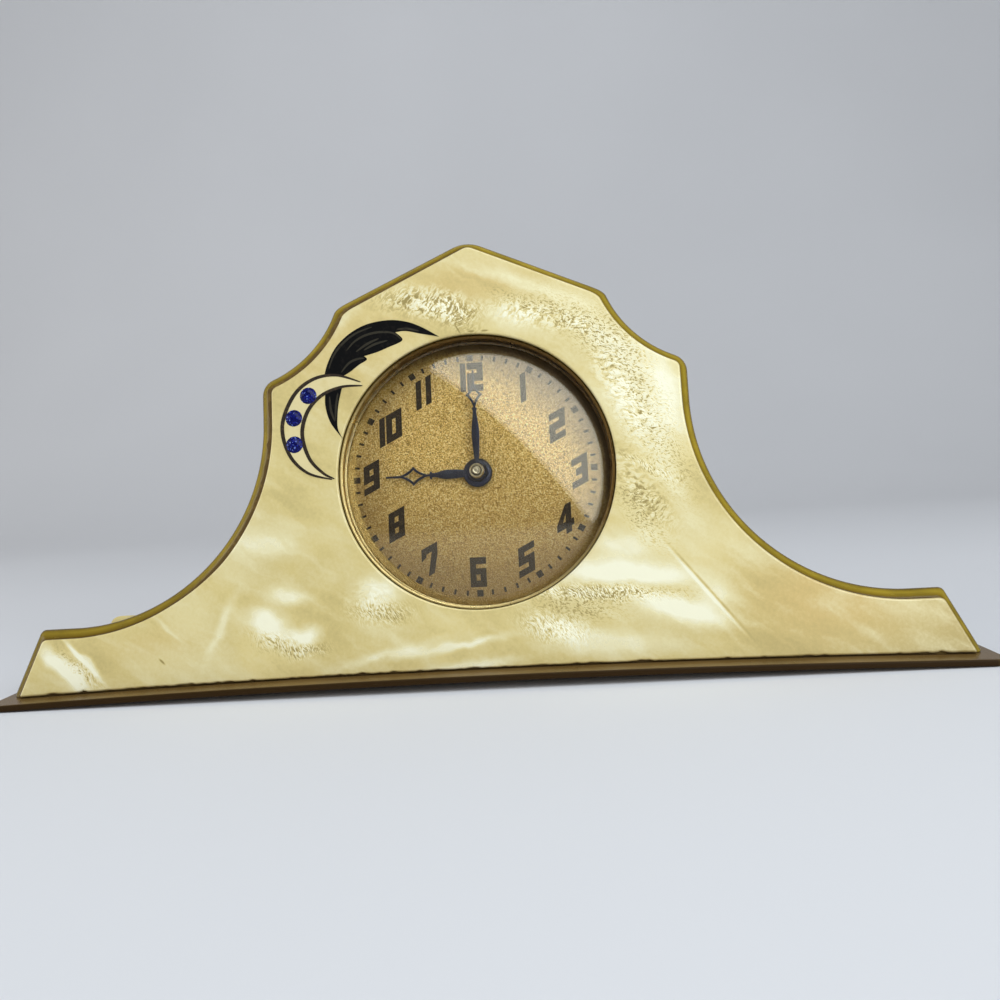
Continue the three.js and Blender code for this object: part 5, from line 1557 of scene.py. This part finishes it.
def knurlTree():  # presses ridges into the outside of a turned grip
    tree, given = nodeGroup("knurl", [
        ("Ridges", "Float"), ("Depth", "Float"), ("Radius", "Float"), ("Material", "Material")])
    position = node(tree, "GeometryNodeInputPosition").outputs[0]
    flat = vectorMath(tree, "MULTIPLY", position, (1, 1, 0))
    reach = vectorMath(tree, "LENGTH", flat, output="Value")
    parts = node(tree, "ShaderNodeSeparateXYZ", {0: position}).outputs
    angle = combine(tree, "ARCTAN2", parts["Y"], parts["X"])
    wave = combine(tree, "COSINE", combine(tree, "MULTIPLY", angle, given["Ridges"]))
    share = level(tree, combine(tree, "DIVIDE", reach, given["Radius"]), *knobSize["ridgeSpan"])
    press = combine(tree, "MULTIPLY", level(tree, wave, -1, 1, -1, 0), share)
    press = combine(tree, "MULTIPLY", press, given["Depth"])
    inward = node(tree, "ShaderNodeVectorMath", {0: vectorMath(tree, "NORMALIZE", flat), "Scale": press},
                  operation="SCALE").outputs[0]
    ridged = node(tree, "GeometryNodeSetPosition", {"Geometry": given["Geometry"], "Offset": inward})
    endGroup(tree, ridged.outputs[0], given["Material"])
    return tree


def knobMesh():
    s = knobSize
    profile = softened([
        (s["bore"], s["front"]), (s["neck"], s["front"]), (s["neck"], s["neckBack"]),
        (s["grip"], s["neckBack"]), (s["grip"], s["back"]), (0, s["back"]),
    ], s["soft"], s["softSteps"])
    profile = [(0, s["boreBack"]), (s["bore"], s["boreBack"])] + profile
    turnedKnob = toMesh(lathe(profile, fine), "knob")
    ridged = grown(knurlTree(), turnedKnob, {
        "Ridges": s["ridges"], "Depth": s["ridgeDepth"], "Radius": s["grip"], "Material": brass})
    return shaded(ridged, s["crease"])


def keyMesh():
    s = keySize
    start, end = s["wingTurn"]
    right = arc((s["wingAt"], 0), s["wing"], radians(start), radians(end), s["wingSteps"])
    wings = right + [(0, s["waist"])] + [(-x, y) for x, y in reversed(right)]
    flat = toMesh(slab(wings, -s["thick"] / 2, s["thick"] / 2), "bow")
    standing = toShell(bevelled(flat, s["edge"], s["edgeSteps"]))
    bmesh.ops.rotate(standing, verts=standing.verts, matrix=Matrix.Rotation(-pi / 2, 3, "X"))
    outside = [(s["bore"], s["front"]), (s["hub"], s["front"]), (s["hub"], s["hubBack"]), (0, s["hubBack"])]
    profile = [(0, s["boreBack"]), (s["bore"], s["boreBack"])]
    profile += softened(outside, s["soft"], s["softSteps"])
    hub = toShell(toMesh(lathe(profile, s["hubSteps"]), "hub", s["crease"]))
    key = merged(moved(standing, depth=s["wingDepth"]), hub)
    return toMesh(moved(key, *canHoles["keyPlace"]), "key")


addPiece("set_knob_grip", knobMesh(), brass, "minute", ["set_knob"])
addPiece("winding_bow", keyMesh(), brass, "winding", ["winding_key"])
print("knob and key made")

# the movement's own pieces keep their solids and take worked metal

slotFinish = {"brass": trainBrass, "nickel": nickel, "steel": steel, "blued_steel": blued,
              "amber_celluloid": amber, "pearl_celluloid": pearl, "gilt_dial": gilt, "crystal_glass": glass,
              "blue_stone": sapphire}
for entry in frame["record"]["subparts"]:
    part = cadNodes[entry["node"]]
    part.data.materials.clear()
    part.data.materials.append(slotFinish[entry["material_slot"]])
print("movement dressed")

# stage, light and camera

stage = {  # metres
    "tones": [(0.3, (0.70, 0.70, 0.71)), (0.7, (0.74, 0.74, 0.75))],
    "mottle": {"scale": 3, "detail": 2},
    "reach": 3.0,
    "wall": 0.9,
    "bend": 0.5,
    "bendSteps": 16,
    "drop": 0.0001,
}


def stageMaterial():
    material, tree, shader = startMaterial("paleStage", {"Roughness": 0.9, "Specular IOR Level": 0.1})
    coords = node(tree, "ShaderNodeTexCoord").outputs["Object"]
    shade = ramp(tree, noiseField(tree, coords, **stage["mottle"]), stage["tones"])
    feed(tree, shader, {"Base Color": shade})
    return material


def stageMesh():
    s = stage
    foot = s["wall"] - s["bend"]
    turns = [pi / 2 * (i + 1) / s["bendSteps"] for i in range(s["bendSteps"])]
    profile = [(-s["reach"], 0), (foot, 0)]
    profile += [(foot + s["bend"] * sin(t), s["bend"] * (1 - cos(t))) for t in turns]
    profile.append((s["wall"], s["reach"]))
    mesh = bpy.data.meshes.new("stage")
    corners = [(side * s["reach"], y, z - s["drop"]) for y, z in profile for side in (-1, 1)]
    faces = [(2 * i, 2 * i + 1, 2 * i + 3, 2 * i + 2) for i in range(len(profile) - 1)]
    mesh.from_pydata(corners, [], faces)
    mesh.shade_smooth()
    return mesh


floor = placed("stage", stageMesh())
floor.data.materials.append(stageMaterial())

lamps = {  # millimetres right, up and out from the dial; then the long side's direction right and up
    "window": {"place": (342, 418, 600), "long": (0.62, -0.79), "size": (1.5, 0.60), "power": 9.7,
               "colour": (0.86, 0.93, 1.0)},
    "fill": {"place": (-900, 200, 280), "long": (0, 1), "size": (0.8, 0.8), "power": 3.8,
             "colour": (1.0, 0.98, 0.95)},
}
air = {"colour": (0.96, 0.97, 1.0, 1), "strength": 0.26}


def addLamp(name, lamp):
    light = bpy.data.lights.new(name, "AREA")
    light.shape = "RECTANGLE"
    light.size, light.size_y = lamp["size"]
    light.energy = lamp["power"]
    light.color = lamp["colour"]
    place = panelMatrix @ Vector(lamp["place"])
    away = (place - dialCentre).normalized()
    long = rightAxis * lamp["long"][0] + upAxis * lamp["long"][1]
    long = (long - away * long.dot(away)).normalized()
    axes = Matrix((long, away.cross(long), away)).transposed()
    placed(name, light).matrix_world = Matrix.Translation(place) @ axes.to_4x4()


for name, lamp in lamps.items():
    addLamp(name, lamp)

world = bpy.data.worlds.new("studio")
world.use_nodes = True
background = world.node_tree.nodes["Background"]
background.inputs["Color"].default_value = air["colour"]
background.inputs["Strength"].default_value = air["strength"]
bpy.context.scene.world = world

view = {  # turns in degrees, then where the dial's middle lies from the camera, in millimetres
    "pitch": -7.49,
    "yaw": 3.05,
    "roll": -2.83,
    "right": -4.4,
    "down": -5.65,
    "away": 182.4,
    "lens": 36,
    "sensor": 36,
    "nearest": 0.01,
}


def addCamera():
    roll, pitch, yaw = [Matrix.Rotation(radians(view[key]), 3, axis)
                        for key, axis in (("roll", "Z"), ("pitch", "X"), ("yaw", "Y"))]
    turn = roll @ pitch @ yaw
    shift = Vector((view["right"], view["down"], view["away"]))
    seen = Matrix((rightAxis, -upAxis, depthAxis)).transposed()  # right, down and away, as the camera sees
    axes = seen @ turn.transposed()
    place = dialCentre - axes @ shift * mm
    right, down, forward = axes.col
    camera = bpy.data.cameras.new("camera")
    camera.lens = view["lens"]
    camera.sensor_width = view["sensor"]
    camera.clip_start = view["nearest"]
    holder = placed("camera", camera)
    facing = Matrix((right, -down, -forward)).transposed()
    holder.matrix_world = Matrix.Translation(place) @ facing.to_4x4()
    bpy.context.scene.camera = holder


addCamera()
bpy.context.scene.view_settings.view_transform = "Standard"
print("stage set")
